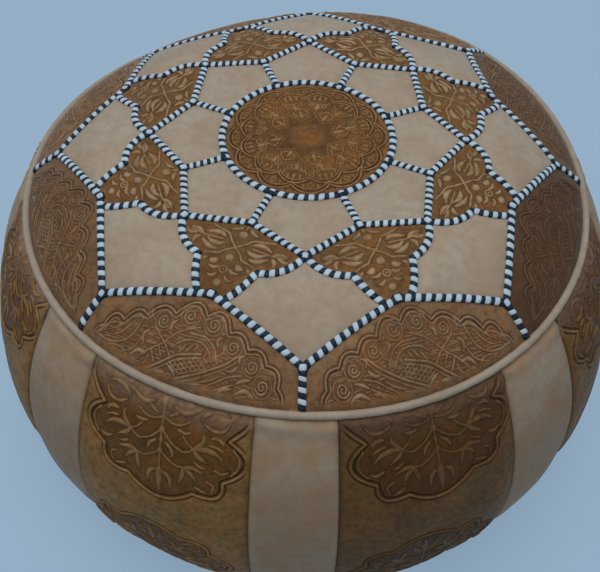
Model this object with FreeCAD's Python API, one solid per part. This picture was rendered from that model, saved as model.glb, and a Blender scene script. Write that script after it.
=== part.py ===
import FreeCAD, Part
import math
import os

# A round leather pouf, in millimetres. The origin is the centre of the base, on the floor.
# +Z is up and -Y is the front. Plan angles are in degrees from the front, towards +X.
# The crown is a patchwork with eight folds. A "tip" direction is in the middle of each fold,
# the first one at the front, and a "notch" direction is where two folds meet.

# Overall form
height = 290.0
edge_radius = 220.5
crown_drop = 44.5
shoulder_width = 104.5
belly_swell = 44.5
belly_above_corner = 22.0
lower_side_radius = 255.0
foot_corner_radius = 90.0
leather = 2.0

# Fits
seam_gap = 0.5
soft_clearance = 0.3
slide_clearance = 0.3
running_clearance = 0.1

# Star patchwork on the crown, in plan. Petals are measured outwards from the medallion,
# and the border inwards from the piping.
folds = 8
medallion_radius = 65.3
petal_at_notch = 33.0
petal_at_tip = 55.3
border_at_notch = 59.1
border_at_tip = 25.2
wave_cusp_rise = 14.6
wave_cusp_across = 32.5
wave_inner_bulge = 5.7
wave_outer_bulge = 1.8
wave_end_from_notch = 9.2

# Lacing over the seams
lace_width = 5.9
lace_height = 2.5
lace_clearance = 0.2
lace_ring_bevel = 1.2

# Side panels
cream_gore_angle = 15.0

# Piping, with the welt that is sewn in between the crown and the side
piping_radius = 3.4
welt_length = 12.0
welt_thickness = 1.6

# Slot in the base, with leather turned up along its edges to carry the zip
slot_margin = 28.5
slot_side_room = 3.2
slot_floor_room = 3.2
base_split_gap = 0.4

# Zip
tape_thickness = 0.8
tape_seam = 6.0
tape_overlap = 5.0
chain_start_room = 19.0
chain_half_width = 3.3
tooth_pitch = 4.0
tooth_length = 1.6
tooth_head_length = 0.8
tooth_reach = 0.6
tooth_depth = 2.6
stop_length = 3.0
stop_half_gap = 1.6
stop_clearance = 0.5

# Slider and pull
slider_end_room = 13.0
slider_length = 14.0
slider_taper = 4.0
slider_shoulder = 0.8
slider_plate = 1.4
slider_rim = 1.1
slider_rim_clearance = 0.6
wedge_length = 4.5
wedge_half_width = 1.8
bridge_length = 6.0
bridge_half_width = 1.2
bridge_depth = 3.2
pull_pin_radius = 0.8
pull_pin_drop = 1.5
pull_length = 20.0
pull_half_width = 3.5
pull_thickness = 1.2
pull_corner = 2.8
pull_cheek = 1.4
pull_hole_radius = 1.8
pull_hole_edge = 2.6

# Flat facets that stand for the round forms
facets_per_fold = 6
cream_facets = 2
brown_facets = 4
shoulder_facets = 5
upper_side_facets = 4
lower_side_facets = 1
foot_corner_facets = 6
piping_facets = 8
wave_inner_facets = 4
wave_outer_facets = 2

# Worked out from the values above
UP = FreeCAD.Vector(0, 0, 1)
ACROSS = FreeCAD.Vector(0, 1, 0)
ORIGIN = FreeCAD.Vector(0, 0, 0)
fold_angle = 360.0 / folds
half_fold = fold_angle / 2
facet_angle = fold_angle / facets_per_fold

edge_height = height - crown_drop
crown_flat_radius = edge_radius - shoulder_width
shoulder_radius = (shoulder_width**2 + crown_drop**2) / (2 * crown_drop)
shoulder_angle = math.degrees(math.asin(shoulder_width / shoulder_radius))
belly_radius = edge_radius + belly_swell
belly_height = foot_corner_radius + belly_above_corner
upper_rise = edge_height - belly_height
upper_side_radius = (upper_rise**2 + belly_swell**2) / (2 * belly_swell)
upper_side_angle = math.degrees(math.asin(upper_rise / upper_side_radius))
corner_offset = lower_side_radius - foot_corner_radius
lower_side_angle = math.degrees(math.asin(belly_above_corner / corner_offset))
foot_radius = belly_radius - lower_side_radius + math.sqrt(corner_offset**2 - belly_above_corner**2)
stuffing_inset = leather + soft_clearance

inner_notch_radius = medallion_radius + petal_at_notch
inner_tip_radius = medallion_radius + petal_at_tip
outer_notch_radius = edge_radius - border_at_notch
outer_tip_radius = edge_radius - border_at_tip
half_lace = lace_width / 2
lace_room = half_lace + soft_clearance

slider_end_half_width = chain_half_width + slider_rim_clearance + slider_rim
slider_half_width = slider_end_half_width + slider_shoulder
slot_half_width = slider_half_width + slot_side_room
slot_run = foot_radius - slot_margin - slot_half_width
slider_rest = slot_run - slider_end_room
slider_front = slider_rest + slider_length / 2
slider_bottom = slot_floor_room + bridge_depth
tooth_low = slider_bottom + slider_plate + slide_clearance
tooth_high = tooth_low + tooth_depth
slider_top = tooth_high + slide_clearance + slider_plate
tape_bottom = (tooth_low + tooth_high - tape_thickness) / 2
tape_half_length = slot_run + slot_half_width + tape_overlap
tape_outside = slot_half_width + leather + tape_seam
chain_start = chain_start_room - slot_run
chain_end = slider_front - wedge_length
pull_pin_x = slider_rest - slider_length / 2 + bridge_length / 2
pull_pin_height = slider_bottom - pull_pin_drop


# Drawing helpers

def profile_point(radius, level):
    return FreeCAD.Vector(radius, 0, level)


def plan_point(radius, angle):
    turn = math.radians(angle)
    return FreeCAD.Vector(radius * math.sin(turn), -radius * math.cos(turn), 0)


def front_point(along, across):
    return FreeCAD.Vector(across, -along, 0)


def profile_arc(centre_radius, centre_level, radius, start, end, facets):
    """Points along an arc of the profile, with its angles in degrees from +X towards +Z."""
    points = []
    for step in range(facets + 1):
        turn = math.radians(start + (end - start) * step / facets)
        points.append(profile_point(centre_radius + radius * math.cos(turn),
                                    centre_level + radius * math.sin(turn)))
    return points


def turned_point(point, angle):
    return FreeCAD.Rotation(UP, angle).multVec(point)


def turned(shape, angle):
    copy = shape.copy()
    copy.rotate(ORIGIN, UP, angle)
    return copy


def around(shape):
    return [turned(shape, fold * fold_angle) for fold in range(folds)]


def polygon_face(points):
    return Part.Face(Part.makePolygon(points + [points[0]]))


def offset_face(wire, distance):
    """The face inside a closed wire that is moved outwards by a distance, with mitred corners."""
    mitre_join = 2
    return Part.Face(wire.makeOffset2D(distance, mitre_join))


def largest(shape):
    return max(shape.Faces, key=lambda face: face.Area)


def faceted(sections, closed=False):
    """A solid with flat faces between matching corners of polygon sections."""
    pairs = list(zip(sections, sections[1:]))
    if closed:
        pairs.append((sections[-1], sections[0]))
    faces = []
    for before, after in pairs:
        for corner in range(len(before)):
            faces.append(polygon_face([before[corner - 1], before[corner], after[corner], after[corner - 1]]))
    if not closed:
        faces += [polygon_face(sections[0]), polygon_face(sections[-1])]
    solid = Part.Solid(Part.Shell(faces))
    if solid.Volume < 0:
        solid.reverse()
    return solid


def swept(profile, start, end, facets):
    """A profile polygon carried about Z between two plan angles."""
    sections = []
    for step in range(facets + 1):
        angle = start + (end - start) * step / facets
        sections.append([turned_point(point, angle - 90) for point in profile])
    return faceted(sections)


def swept_round(profile):
    sides = folds * facets_per_fold
    return faceted([[turned_point(point, side * facet_angle - 90) for point in profile]
                    for side in range(sides)], closed=True)


def round_points(radius, level=0.0):
    """Corners of the many-sided ring that stands for a circle about Z."""
    sides = folds * facets_per_fold
    return [plan_point(radius, side * facet_angle) + UP * level for side in range(sides)]


def prism(face):
    return face.extrude(UP * 2 * height)


def block(low, high):
    return Part.makeBox(high[0] - low[0], high[1] - low[1], high[2] - low[2], FreeCAD.Vector(*low))


def raised(face, low, high):
    solid = face.extrude(UP * (high - low))
    solid.translate(UP * low)
    return solid


# Sections of the cover

def crown_points(offset):
    """The crown's section from inside the medallion to the piping, moved outwards by an offset."""
    start = profile_point(medallion_radius / 2, height + offset)
    return [start] + profile_arc(crown_flat_radius, height - shoulder_radius, shoulder_radius + offset,
                                 90, 90 - shoulder_angle, shoulder_facets)


def side_points(offset):
    """The side's section from the piping to the floor, moved outwards by an offset."""
    upper = profile_arc(belly_radius - upper_side_radius, belly_height, upper_side_radius + offset,
                        upper_side_angle, 0, upper_side_facets)
    lower = profile_arc(belly_radius - lower_side_radius, belly_height, lower_side_radius + offset,
                        0, -lower_side_angle, lower_side_facets)
    corner = profile_arc(foot_radius, foot_corner_radius, foot_corner_radius + offset,
                         -lower_side_angle, -90, foot_corner_facets)
    return upper + lower[1:] + corner[1:]


def piping_points(clearance):
    """The piping's section, a round with its welt pointing in between crown and side."""
    radius = piping_radius + clearance
    half = welt_thickness / 2 + clearance
    inwards = 180 + (90 - shoulder_angle + upper_side_angle) / 2
    opening = math.degrees(math.asin(half / radius))
    tube = profile_arc(edge_radius, edge_height, radius, inwards + opening, inwards + 360 - opening,
                       piping_facets)
    turn = math.radians(inwards)
    along = profile_point(math.cos(turn), math.sin(turn))
    reach = welt_length + clearance - math.sqrt(radius**2 - half**2)
    return tube + [tube[-1] + along * reach, tube[0] + along * reach]


def trimmed_section(outer, inner):
    """The section between two lines, cut clear of the piping."""
    face = polygon_face(outer + inner[::-1]).cut(polygon_face(piping_points(soft_clearance)))
    return [vertex.Point for vertex in largest(face).OuterWire.OrderedVertexes]


crown_section = trimmed_section(crown_points(0), crown_points(-leather))
side_section = trimmed_section(side_points(0), side_points(-leather))
lace_section = trimmed_section(crown_points(lace_clearance + lace_height), crown_points(lace_clearance))
crown_sector = swept(crown_section, -fold_angle, fold_angle, 2 * facets_per_fold)
lace_sector = swept(lace_section, -fold_angle, fold_angle, 2 * facets_per_fold)
lace_round = swept_round(lace_section)


# Seams of the patchwork, in plan about the front

def bulged(start, end, bulge, facets):
    """Points from start towards end along a shallow curve that bulges to the right of its chord."""
    chord = end - start
    right = FreeCAD.Vector(chord.y, -chord.x, 0).normalize()
    shares = [step / facets for step in range(facets)]
    return [start + chord * share + right * (4 * bulge * share * (1 - share)) for share in shares]


def wave_points():
    """The scalloped seam on a star panel's right side, from its inner tip to the outer star."""
    notch = plan_point(outer_notch_radius, half_fold)
    start = plan_point(inner_tip_radius, 0)
    cusp = front_point(inner_tip_radius + wave_cusp_rise, wave_cusp_across)
    end = notch + (plan_point(outer_tip_radius, 0) - notch).normalize() * wave_end_from_notch
    inner = bulged(start, cusp, wave_inner_bulge, wave_inner_facets)
    outer = bulged(cusp, end, wave_outer_bulge, wave_outer_facets)
    return inner + outer + [end]


def mirrored_points(points):
    return [FreeCAD.Vector(-point.x, point.y, 0) for point in points]


wave_right = wave_points()
wave_left = mirrored_points(wave_right)


def ring_arc(radius, start, end):
    steps = round((end - start) / facet_angle)
    return [plan_point(radius, start + step * facet_angle) for step in range(steps + 1)]


def petal_outline():
    return ring_arc(medallion_radius, -half_fold, half_fold) + [
        plan_point(inner_notch_radius, half_fold),
        plan_point(inner_tip_radius, 0),
        plan_point(inner_notch_radius, -half_fold)]


def kite_outline():
    """A kite about a notch direction, between the waves of its two neighbouring star panels."""
    right = [turned_point(point, half_fold) for point in wave_left]
    left = mirrored_points(right)
    return ([plan_point(inner_notch_radius, 0)] + right + [plan_point(outer_notch_radius, 0)]
            + left[::-1])


def star_outline():
    return wave_right + [plan_point(outer_tip_radius, 0)] + wave_left[:0:-1]


def border_outline():
    """A border panel, carried past the piping because the crown's own edge ends it."""
    return [plan_point(belly_radius, half_fold), plan_point(outer_tip_radius, half_fold),
            plan_point(outer_notch_radius, 0), plan_point(outer_tip_radius, -half_fold),
            plan_point(belly_radius, -half_fold), front_point(2 * belly_radius, 0)]


def crown_panel(outline):
    """The crown's leather inside a seam outline, less half the gap at each seam."""
    inset = offset_face(polygon_face(outline).OuterWire, -seam_gap / 2)
    return crown_sector.common(prism(inset))


def top_medallion():
    return raised(polygon_face(round_points(medallion_radius - seam_gap / 2)), height - leather, height)


# Lacing, in plan about the front

def strip(points, half_width):
    """A strip along an open line of points, mitred at its corners."""
    runs = [(end - start).normalize() for start, end in zip(points, points[1:])]
    sides = []
    for before, after in zip(runs[:1] + runs, runs + runs[-1:]):
        middle = (before + after).normalize()
        widen = half_width / (middle * after)
        sides.append(FreeCAD.Vector(middle.y, -middle.x, 0) * widen)
    right = [point + side for point, side in zip(points, sides)]
    left = [point - side for point, side in zip(points, sides)]
    return polygon_face(right + left[::-1])


def star_strip(notch_radius, tip_radius, half_width):
    """A closed zigzag strip along one of the two star seams."""
    points = []
    for fold in range(folds):
        points.append(plan_point(tip_radius, fold * fold_angle))
        points.append(plan_point(notch_radius, fold * fold_angle + half_fold))
    loop = Part.makePolygon(points + [points[0]])
    return offset_face(loop, half_width).cut(offset_face(loop, -half_width))


inner_star_room = star_strip(inner_notch_radius, inner_tip_radius, lace_room)
outer_star_room = star_strip(outer_notch_radius, outer_tip_radius, lace_room)


def medallion_lacing():
    """A ring with bevelled upper edges round the medallion."""
    low = height + lace_clearance
    high = low + lace_height
    inside = medallion_radius - half_lace
    outside = medallion_radius + half_lace
    section = [profile_point(inside, low), profile_point(outside, low),
               profile_point(outside, high - lace_ring_bevel), profile_point(outside - lace_ring_bevel, high),
               profile_point(inside + lace_ring_bevel, high), profile_point(inside, high - lace_ring_bevel)]
    return swept_round(section)


def star_loops():
    return [lace_round.common(prism(star_strip(inner_notch_radius, inner_tip_radius, half_lace))),
            lace_round.common(prism(star_strip(outer_notch_radius, outer_tip_radius, half_lace)))]


def spokes():
    """Spokes from the medallion's ring to the inner star, and from the outer star to the piping."""
    ring_edge = front_point(medallion_radius + lace_room, 0)
    inner = strip([ring_edge, front_point(inner_notch_radius, 0)], half_lace)
    inner = largest(inner.cut(turned(inner_star_room, half_fold)))
    outer = strip([front_point(outer_tip_radius, 0), front_point(belly_radius, 0)], half_lace)
    outer = largest(outer.cut(outer_star_room))
    return (around(turned(lace_sector.common(prism(inner)), half_fold))
            + around(lace_sector.common(prism(outer))))


def wave_lacing():
    waves = []
    for points in (wave_right, wave_left):
        face = largest(strip(points, half_lace).cut(inner_star_room).cut(outer_star_room))
        waves += around(lace_sector.common(prism(face)))
    return waves


# Sides, piping and stuffing

def side_panel(angle, facets):
    half = (angle - math.degrees(seam_gap / belly_radius)) / 2
    return swept(side_section, -half, half, facets)


def stuffing():
    """The filling: the inside of the cover, grooved for the welt and hollowed over the zip."""
    section = side_points(-stuffing_inset)[::-1] + crown_points(-stuffing_inset)[:0:-1]
    body = faceted([round_points(point.x, point.z) for point in section])
    width = tape_outside + soft_clearance
    length = tape_half_length + soft_clearance
    hollow = block((-length, -width, 0), (length, width, slider_top + soft_clearance))
    return body.cut(swept_round(piping_points(soft_clearance))).cut(hollow)


# Base and zip

def slot_face(grow):
    """The slot's plan, a straight run along X with round ends, grown by an offset."""
    half = slot_half_width + grow
    box = polygon_face([FreeCAD.Vector(-slot_run, -half, 0), FreeCAD.Vector(slot_run, -half, 0),
                        FreeCAD.Vector(slot_run, half, 0), FreeCAD.Vector(-slot_run, half, 0)])
    rounds = [Part.makeCircle(half, FreeCAD.Vector(x, 0, 0)) for x in (-slot_run, slot_run)]
    ends = [Part.Face(Part.Wire(circle)) for circle in rounds]
    return largest(box.fuse(ends).removeSplitter())


def base_halves():
    """Two half rounds of leather that meet in a seam, with the slot's edges turned up."""
    disc = raised(polygon_face(round_points(foot_radius - soft_clearance)), 0, leather)
    flange = raised(slot_face(leather), 0, tape_bottom)
    whole = disc.fuse(flange).cut(raised(slot_face(0), 0, tape_bottom)).removeSplitter()
    half_gap = base_split_gap / 2
    return whole.cut(block((-belly_radius, -half_gap, 0), (belly_radius, half_gap, tape_bottom)))


def zip_tapes():
    tape = block((-tape_half_length, chain_half_width, tape_bottom),
                 (tape_half_length, tape_outside, tape_bottom + tape_thickness))
    return [tape, turned(tape, 180)]


def zip_tooth(x, side):
    """A tooth with its foot against the tape and a tapered head that reaches past the middle."""
    half = tooth_length / 2
    head = tooth_head_length / 2
    outline = [(-half, chain_half_width), (half, chain_half_width), (half, 0),
               (head, -tooth_reach), (-head, -tooth_reach), (-half, 0)]
    points = [FreeCAD.Vector(x + along, side * reach, 0) for along, reach in outline]
    return raised(polygon_face(points), tooth_low, tooth_high)


def zip_teeth():
    count = 1 + int((chain_end - chain_start - tooth_length - tooth_pitch / 2) / tooth_pitch)
    teeth = []
    for number in range(count):
        x = chain_start + tooth_length / 2 + number * tooth_pitch
        teeth += [zip_tooth(x, 1), zip_tooth(x + tooth_pitch / 2, -1)]
    return teeth


def zip_stops():
    """One stop across both tapes where the chain starts, and one on each tape past the slider."""
    start = chain_start - stop_clearance
    end = slider_front + stop_clearance
    single = block((end, stop_half_gap, tooth_low), (end + stop_length, chain_half_width, tooth_high))
    return [block((start - stop_length, -chain_half_width, tooth_low), (start, chain_half_width, tooth_high)),
            single, single.mirror(ORIGIN, ACROSS)]


def slider_plan():
    """A slider plate's plan: wide shoulders behind the wedge and narrower ends."""
    back = slider_rest - slider_length / 2
    shoulder = slider_front - slider_taper
    half = [(back, slider_end_half_width), (shoulder, slider_half_width),
            (slider_front, slider_end_half_width)]
    points = [FreeCAD.Vector(x, y, 0) for x, y in half]
    return polygon_face(points + [FreeCAD.Vector(x, -y, 0) for x, y in half[::-1]])


def zip_slider():
    """Two plates with rims that guide the tapes, a wedge that parts the rows, a bridge for the pull."""
    plan = slider_plan()
    core = polygon_face([FreeCAD.Vector(x, y, 0) for x, y in (
        (slider_rest - slider_length, slider_rim - slider_end_half_width),
        (slider_rest + slider_length, slider_rim - slider_end_half_width),
        (slider_rest + slider_length, slider_end_half_width - slider_rim),
        (slider_rest - slider_length, slider_end_half_width - slider_rim))])
    rim = plan.cut(core)
    rim_height = (tooth_depth - tape_thickness) / 2
    lower = slider_bottom + slider_plate
    upper = slider_top - slider_plate
    plates = [raised(plan, slider_bottom, lower), raised(plan, upper, slider_top)]
    rims = [raised(rim, lower, lower + rim_height), raised(rim, upper - rim_height, upper)]
    wedge = polygon_face([FreeCAD.Vector(slider_front, -wedge_half_width, 0),
                          FreeCAD.Vector(slider_front, wedge_half_width, 0),
                          FreeCAD.Vector(slider_front - wedge_length, 0, 0)])
    bridge = block((pull_pin_x - bridge_length / 2, -bridge_half_width, slider_bottom - bridge_depth),
                   (pull_pin_x + bridge_length / 2, bridge_half_width, slider_bottom))
    eye = Part.makeCylinder(pull_pin_radius + running_clearance, 2 * bridge_half_width,
                            FreeCAD.Vector(pull_pin_x, -bridge_half_width, pull_pin_height), ACROSS)
    pieces = plates[1:] + rims + [raised(wedge, slider_bottom, slider_top), bridge]
    return plates[0].fuse(pieces).removeSplitter().cut(eye)


def zip_pull():
    """A pin through the slider's bridge, two cheeks beside it and a flat tab with a round hole."""
    cheek_inside = bridge_half_width + slide_clearance
    cheek_outside = cheek_inside + pull_cheek
    bridge_sweep = math.hypot(bridge_length / 2, bridge_depth - pull_pin_drop)
    tab_start = pull_pin_x - bridge_sweep - slide_clearance
    tab_end = pull_pin_x - pull_length
    low = pull_pin_height - pull_thickness / 2
    high = low + pull_thickness
    tab = block((tab_end, -pull_half_width, low), (tab_start, pull_half_width, high))
    upright = [edge for edge in tab.Edges if edge.BoundBox.ZLength > pull_thickness / 2]
    corners = [edge for edge in upright if edge.BoundBox.XMax < tab_start]
    tab = tab.makeFillet(pull_corner, corners)
    hole = Part.makeCylinder(pull_hole_radius, pull_thickness,
                             FreeCAD.Vector(tab_end + pull_hole_edge + pull_hole_radius, 0, low))
    cheek = block((tab_start, cheek_inside, low), (pull_pin_x + pull_pin_radius, cheek_outside, high))
    pin = Part.makeCylinder(pull_pin_radius, 2 * cheek_outside,
                            FreeCAD.Vector(pull_pin_x, -cheek_outside, pull_pin_height), ACROSS)
    return tab.cut(hole).fuse([cheek, cheek.mirror(ORIGIN, ACROSS), pin]).removeSplitter()


# Export, one file for each node

def export(node, *shapes):
    solids = [solid for shape in shapes for solid in shape.Solids]
    Part.makeCompound(solids).exportStep("parts/" + node + ".step")


def export_each(node, solids):
    for number, solid in enumerate(solids, 1):
        export(node + "_" + str(number), solid)


os.makedirs("parts", exist_ok=True)
export("top_medallion", top_medallion())
export_each("petal_panel", around(crown_panel(petal_outline())))
export_each("kite_panel", around(turned(crown_panel(kite_outline()), half_fold)))
export_each("star_panel", around(crown_panel(star_outline())))
export_each("border_panel", around(turned(crown_panel(border_outline()), half_fold)))
export_each("side_panel_cream", around(side_panel(cream_gore_angle, cream_facets)))
brown_panel = side_panel(fold_angle - cream_gore_angle, brown_facets)
export_each("side_panel_brown", around(turned(brown_panel, half_fold)))
export("piping", swept_round(piping_points(0)))
export("medallion_lacing", medallion_lacing())
export("star_lacing", *star_loops(), *spokes())
export("wave_lacing", *wave_lacing())
export("base_halves", base_halves())
export("zip_tapes", *zip_tapes())
export("zip_teeth", *zip_teeth())
export("zip_stops", *zip_stops())
export("zip_slider", zip_slider())
export("zip_pull", zip_pull())
export("stuffing", stuffing())
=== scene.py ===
import math

import bpy
import numpy as np
from mathutils import Matrix, Vector
from mathutils.geometry import delaunay_2d_cdt

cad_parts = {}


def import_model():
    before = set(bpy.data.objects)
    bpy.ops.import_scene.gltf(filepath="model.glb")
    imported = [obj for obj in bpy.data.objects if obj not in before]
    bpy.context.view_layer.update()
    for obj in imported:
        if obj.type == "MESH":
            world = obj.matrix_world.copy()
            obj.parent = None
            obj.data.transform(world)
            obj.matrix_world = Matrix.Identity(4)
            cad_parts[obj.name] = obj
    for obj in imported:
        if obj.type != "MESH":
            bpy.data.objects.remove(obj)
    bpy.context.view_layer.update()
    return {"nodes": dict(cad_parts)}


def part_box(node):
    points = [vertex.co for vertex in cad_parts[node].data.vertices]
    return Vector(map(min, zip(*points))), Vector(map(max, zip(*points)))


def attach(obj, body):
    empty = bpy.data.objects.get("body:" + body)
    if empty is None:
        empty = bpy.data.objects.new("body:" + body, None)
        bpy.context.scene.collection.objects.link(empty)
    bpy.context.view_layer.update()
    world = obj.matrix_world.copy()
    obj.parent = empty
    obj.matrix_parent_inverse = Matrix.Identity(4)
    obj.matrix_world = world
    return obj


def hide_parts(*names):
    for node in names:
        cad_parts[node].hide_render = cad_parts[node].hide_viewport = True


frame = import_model()

# A round leather pouf: embossed brown and plain cream leather, laced together in black and white.
# Shapes are worked out in millimetres, in the CAD's frame. The origin is the centre of the base, on the
# floor, +Z is up and -Y is the front. Plan angles are in degrees from the front, towards +X.
# A panel is drawn flat about the front first, then laid on the pouf and turned to its own place.

MM = 0.001
FULL_TURN = 2 * math.pi
FOLDS = 8
FOLD = 360 / FOLDS
HALF_FOLD = FOLD / 2

# Overall form, as in the CAD
HEIGHT = 290.0
EDGE_RADIUS = 220.5
EDGE_HEIGHT = 245.5
CROWN_FLAT = 116.0
BELLY_RADIUS = 265.0
BELLY_HEIGHT = 112.0
LOWER_SIDE_RADIUS = 255.0
CORNER_RADIUS = 90.0
LEATHER = 2.0
SEAM_GAP = 0.5
CREAM_ANGLE = 15.0
BROWN_ANGLE = FOLD - CREAM_ANGLE

# Seams of the crown, in plan
RING = 65.3
INNER_NOTCH = 98.3
INNER_TIP = 120.6
OUTER_NOTCH = 161.4
OUTER_TIP = 195.3
WAVE_CUSP = (32.5, 135.2)
WAVE_BULGES = (5.7, 1.8)
WAVE_END = 9.2
CROWN_EDGE = 219.0

# Worked out from the values above
shoulder_drop = HEIGHT - EDGE_HEIGHT
shoulder_width = EDGE_RADIUS - CROWN_FLAT
shoulder_radius = (shoulder_width**2 + shoulder_drop**2) / (2 * shoulder_drop)
belly_swell = BELLY_RADIUS - EDGE_RADIUS
upper_rise = EDGE_HEIGHT - BELLY_HEIGHT
upper_radius = (upper_rise**2 + belly_swell**2) / (2 * belly_swell)
upper_angle = math.asin(upper_rise / upper_radius)
lower_angle = math.asin((BELLY_HEIGHT - CORNER_RADIUS) / (LOWER_SIDE_RADIUS - CORNER_RADIUS))
lower_centre = BELLY_RADIUS - LOWER_SIDE_RADIUS
foot_radius = lower_centre + (LOWER_SIDE_RADIUS - CORNER_RADIUS) * math.cos(lower_angle)
upper_run = upper_radius * upper_angle
lower_run = LOWER_SIDE_RADIUS * lower_angle
corner_run = CORNER_RADIUS * (math.pi / 2 - lower_angle)
side_run = upper_run + lower_run + corner_run


# Surfaces that the leather lies on

def crown_surface(flat):
    """Points and outward normals of the crown over plan points, with x across and y from front to back."""
    x, y = flat.T
    radius = np.hypot(x, y)
    out = np.maximum(radius - CROWN_FLAT, 0)
    rise = np.sqrt(shoulder_radius**2 - out**2)
    lean = out / shoulder_radius / np.maximum(radius, 1)
    points = np.stack([x, y, HEIGHT - shoulder_radius + rise], 1)
    return points, np.stack([x * lean, y * lean, rise / shoulder_radius], 1)


def side_section(down):
    """Radius, level and normal angle of the side, by the distance down along it from the piping."""
    upper = upper_angle - down / upper_radius
    lower = -(down - upper_run) / LOWER_SIDE_RADIUS
    corner = -lower_angle - (down - upper_run - lower_run) / CORNER_RADIUS
    zone = [down < upper_run, down < upper_run + lower_run]
    angle = np.select(zone, [upper, lower], corner)
    bend = np.select(zone, [upper_radius, LOWER_SIDE_RADIUS], CORNER_RADIUS)
    centre = np.select(zone, [BELLY_RADIUS - upper_radius, lower_centre], foot_radius)
    level = np.select(zone, [BELLY_HEIGHT, BELLY_HEIGHT], CORNER_RADIUS)
    return centre + bend * np.cos(angle), level + bend * np.sin(angle), angle


def side_surface(flat):
    """Points and outward normals of the side. Flat x is an arc at the belly and flat y runs down."""
    turn = flat[:, 0] / BELLY_RADIUS
    radius, level, angle = side_section(flat[:, 1])
    return swept(radius, turn, level), swept(np.cos(angle), turn, np.sin(angle))


def swept(radius, turn, level):
    """Points at a radius, an angle in radians from the front and a level."""
    return np.stack(np.broadcast_arrays(radius * np.sin(turn), -radius * np.cos(turn), level), -1)


def turned(points, degrees):
    """Points or vectors turned about Z, or about the plan's origin."""
    c, s = math.cos(math.radians(degrees)), math.sin(math.radians(degrees))
    result = points.copy()
    result[:, 0] = c * points[:, 0] - s * points[:, 1]
    result[:, 1] = s * points[:, 0] + c * points[:, 1]
    return result


def plan(radius, degrees):
    """The plan point at a radius and a plan angle."""
    turn = math.radians(degrees)
    return np.array([radius * math.sin(turn), -radius * math.cos(turn)])


# Lines in the flat

TINY = 1e-12
CHUNK = 4000
SPIRAL_STEPS = 34
SPIRAL_CLOSING = 0.85
MITRE_LIMIT = 0.3
INWARDS_TEST = 1e-3
RIPPLE_WAVES = 6
RIPPLE_STRETCH = (0.7, 1.5)


def closed(outline):
    """An outline with its first point repeated at its end."""
    return np.vstack([outline, outline[:1]])


def round_angles(count):
    """Angles in radians shared out evenly over a full turn."""
    return np.arange(count) * FULL_TURN / count


def unit(vectors):
    """Vectors with their lengths made 1."""
    return vectors / np.maximum(np.linalg.norm(vectors, axis=1), TINY)[:, None]


def spaced(line, spacing):
    """A line's points shared out evenly, with its corners kept and its last point left out."""
    parts = []
    for start, end in zip(line, line[1:]):
        steps = max(1, round(np.linalg.norm(end - start) / spacing))
        parts.append(start + (end - start) * np.arange(steps)[:, None] / steps)
    return np.concatenate(parts)


def smooth_line(points, steps=10):
    """A curve through the given points."""
    p = np.asarray(points, float)
    p = np.vstack([2 * p[0] - p[1], p, 2 * p[-1] - p[-2]])
    t = np.linspace(0, 1, steps, endpoint=False)[:, None]
    parts = []
    for a, b, c, d in zip(p, p[1:], p[2:], p[3:]):
        parts.append(b + (c - a) * t / 2 + (2 * a - 5 * b + 4 * c - d) * t**2 / 2
                     + (3 * b - a - 3 * c + d) * t**3 / 2)
    return np.concatenate(parts + [p[-2:-1]])


def bow(start, middle, end, steps=12):
    """A shallow curve from start to end that passes through middle."""
    start, middle, end = (np.asarray(p, float) for p in (start, middle, end))
    t = np.linspace(0, 1, steps + 1)[:, None]
    pull = 2 * middle - (start + end) / 2
    return (1 - t)**2 * start + 2 * t * (1 - t) * pull + t**2 * end


def ring(centre, radius, steps=28):
    turn = np.linspace(0, FULL_TURN, steps + 1)
    return np.stack([centre[0] + radius * np.cos(turn), centre[1] + radius * np.sin(turn)], 1)


def spiral(centre, radius, start, turns):
    """A scroll that winds inwards from a start angle in degrees. Negative turns wind the other way."""
    t = np.linspace(0, 1, SPIRAL_STEPS)
    turn = math.radians(start) + turns * FULL_TURN * t
    reach = radius * (1 - SPIRAL_CLOSING * t)
    return np.stack([centre[0] + reach * np.cos(turn), centre[1] + reach * np.sin(turn)], 1)


def mirror(points):
    return np.asarray(points, float) * (-1, 1)


def to_segments(points, line):
    """Where each point is nearest to each segment of a line, as a share of it, and how far away."""
    start, run = line[:-1], np.diff(line, axis=0)
    from_start = points[:, None] - start
    share = np.clip((from_start * run).sum(2) / np.maximum((run**2).sum(1), TINY), 0, 1)
    return share, np.linalg.norm(from_start - share[:, :, None] * run, axis=2)


def segments_near(points, line):
    """Distance from each point to a line of points, worked out in chunks to spare memory."""
    distance = np.empty(len(points))
    for first in range(0, len(points), CHUNK):
        chunk = slice(first, first + CHUNK)
        distance[chunk] = to_segments(points[chunk], line)[1].min(1)
    return distance


def inside(points, outline):
    """True for the points inside a closed outline."""
    x, y = points.T
    result = np.zeros(len(points), bool)
    ends = closed(outline)
    for (ax, ay), (bx, by) in zip(ends, ends[1:]):
        crosses = (ay > y) != (by > y)
        if ay != by:
            result ^= crosses & (x < (bx - ax) * (y - ay) / (by - ay) + ax)
    return result


def depth_inside(points, outline):
    """Distance of each point inside a closed outline from it, negative outside."""
    depth = segments_near(points, closed(outline))
    return np.where(inside(points, outline), depth, -depth)


def smooth_step(values, low, high):
    t = np.clip((values - low) / (high - low), 0, 1)
    return t * t * (3 - 2 * t)


def left_of(runs):
    """Flat directions turned a quarter turn to the left."""
    return np.stack([-runs[:, 1], runs[:, 0]], 1)


def inset(outline, gap):
    """A closed outline moved inwards along the bisectors of its corners."""
    before = unit(outline - np.roll(outline, 1, 0))
    after = unit(np.roll(outline, -1, 0) - outline)
    across = left_of(before + after)
    across /= np.maximum((left_of(after) * across).sum(1), MITRE_LIMIT)[:, None]
    nearby = outline + across * INWARDS_TEST
    sign = np.where(inside(nearby, outline), 1, -1)[:, None]
    return outline + across * sign * gap


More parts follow.
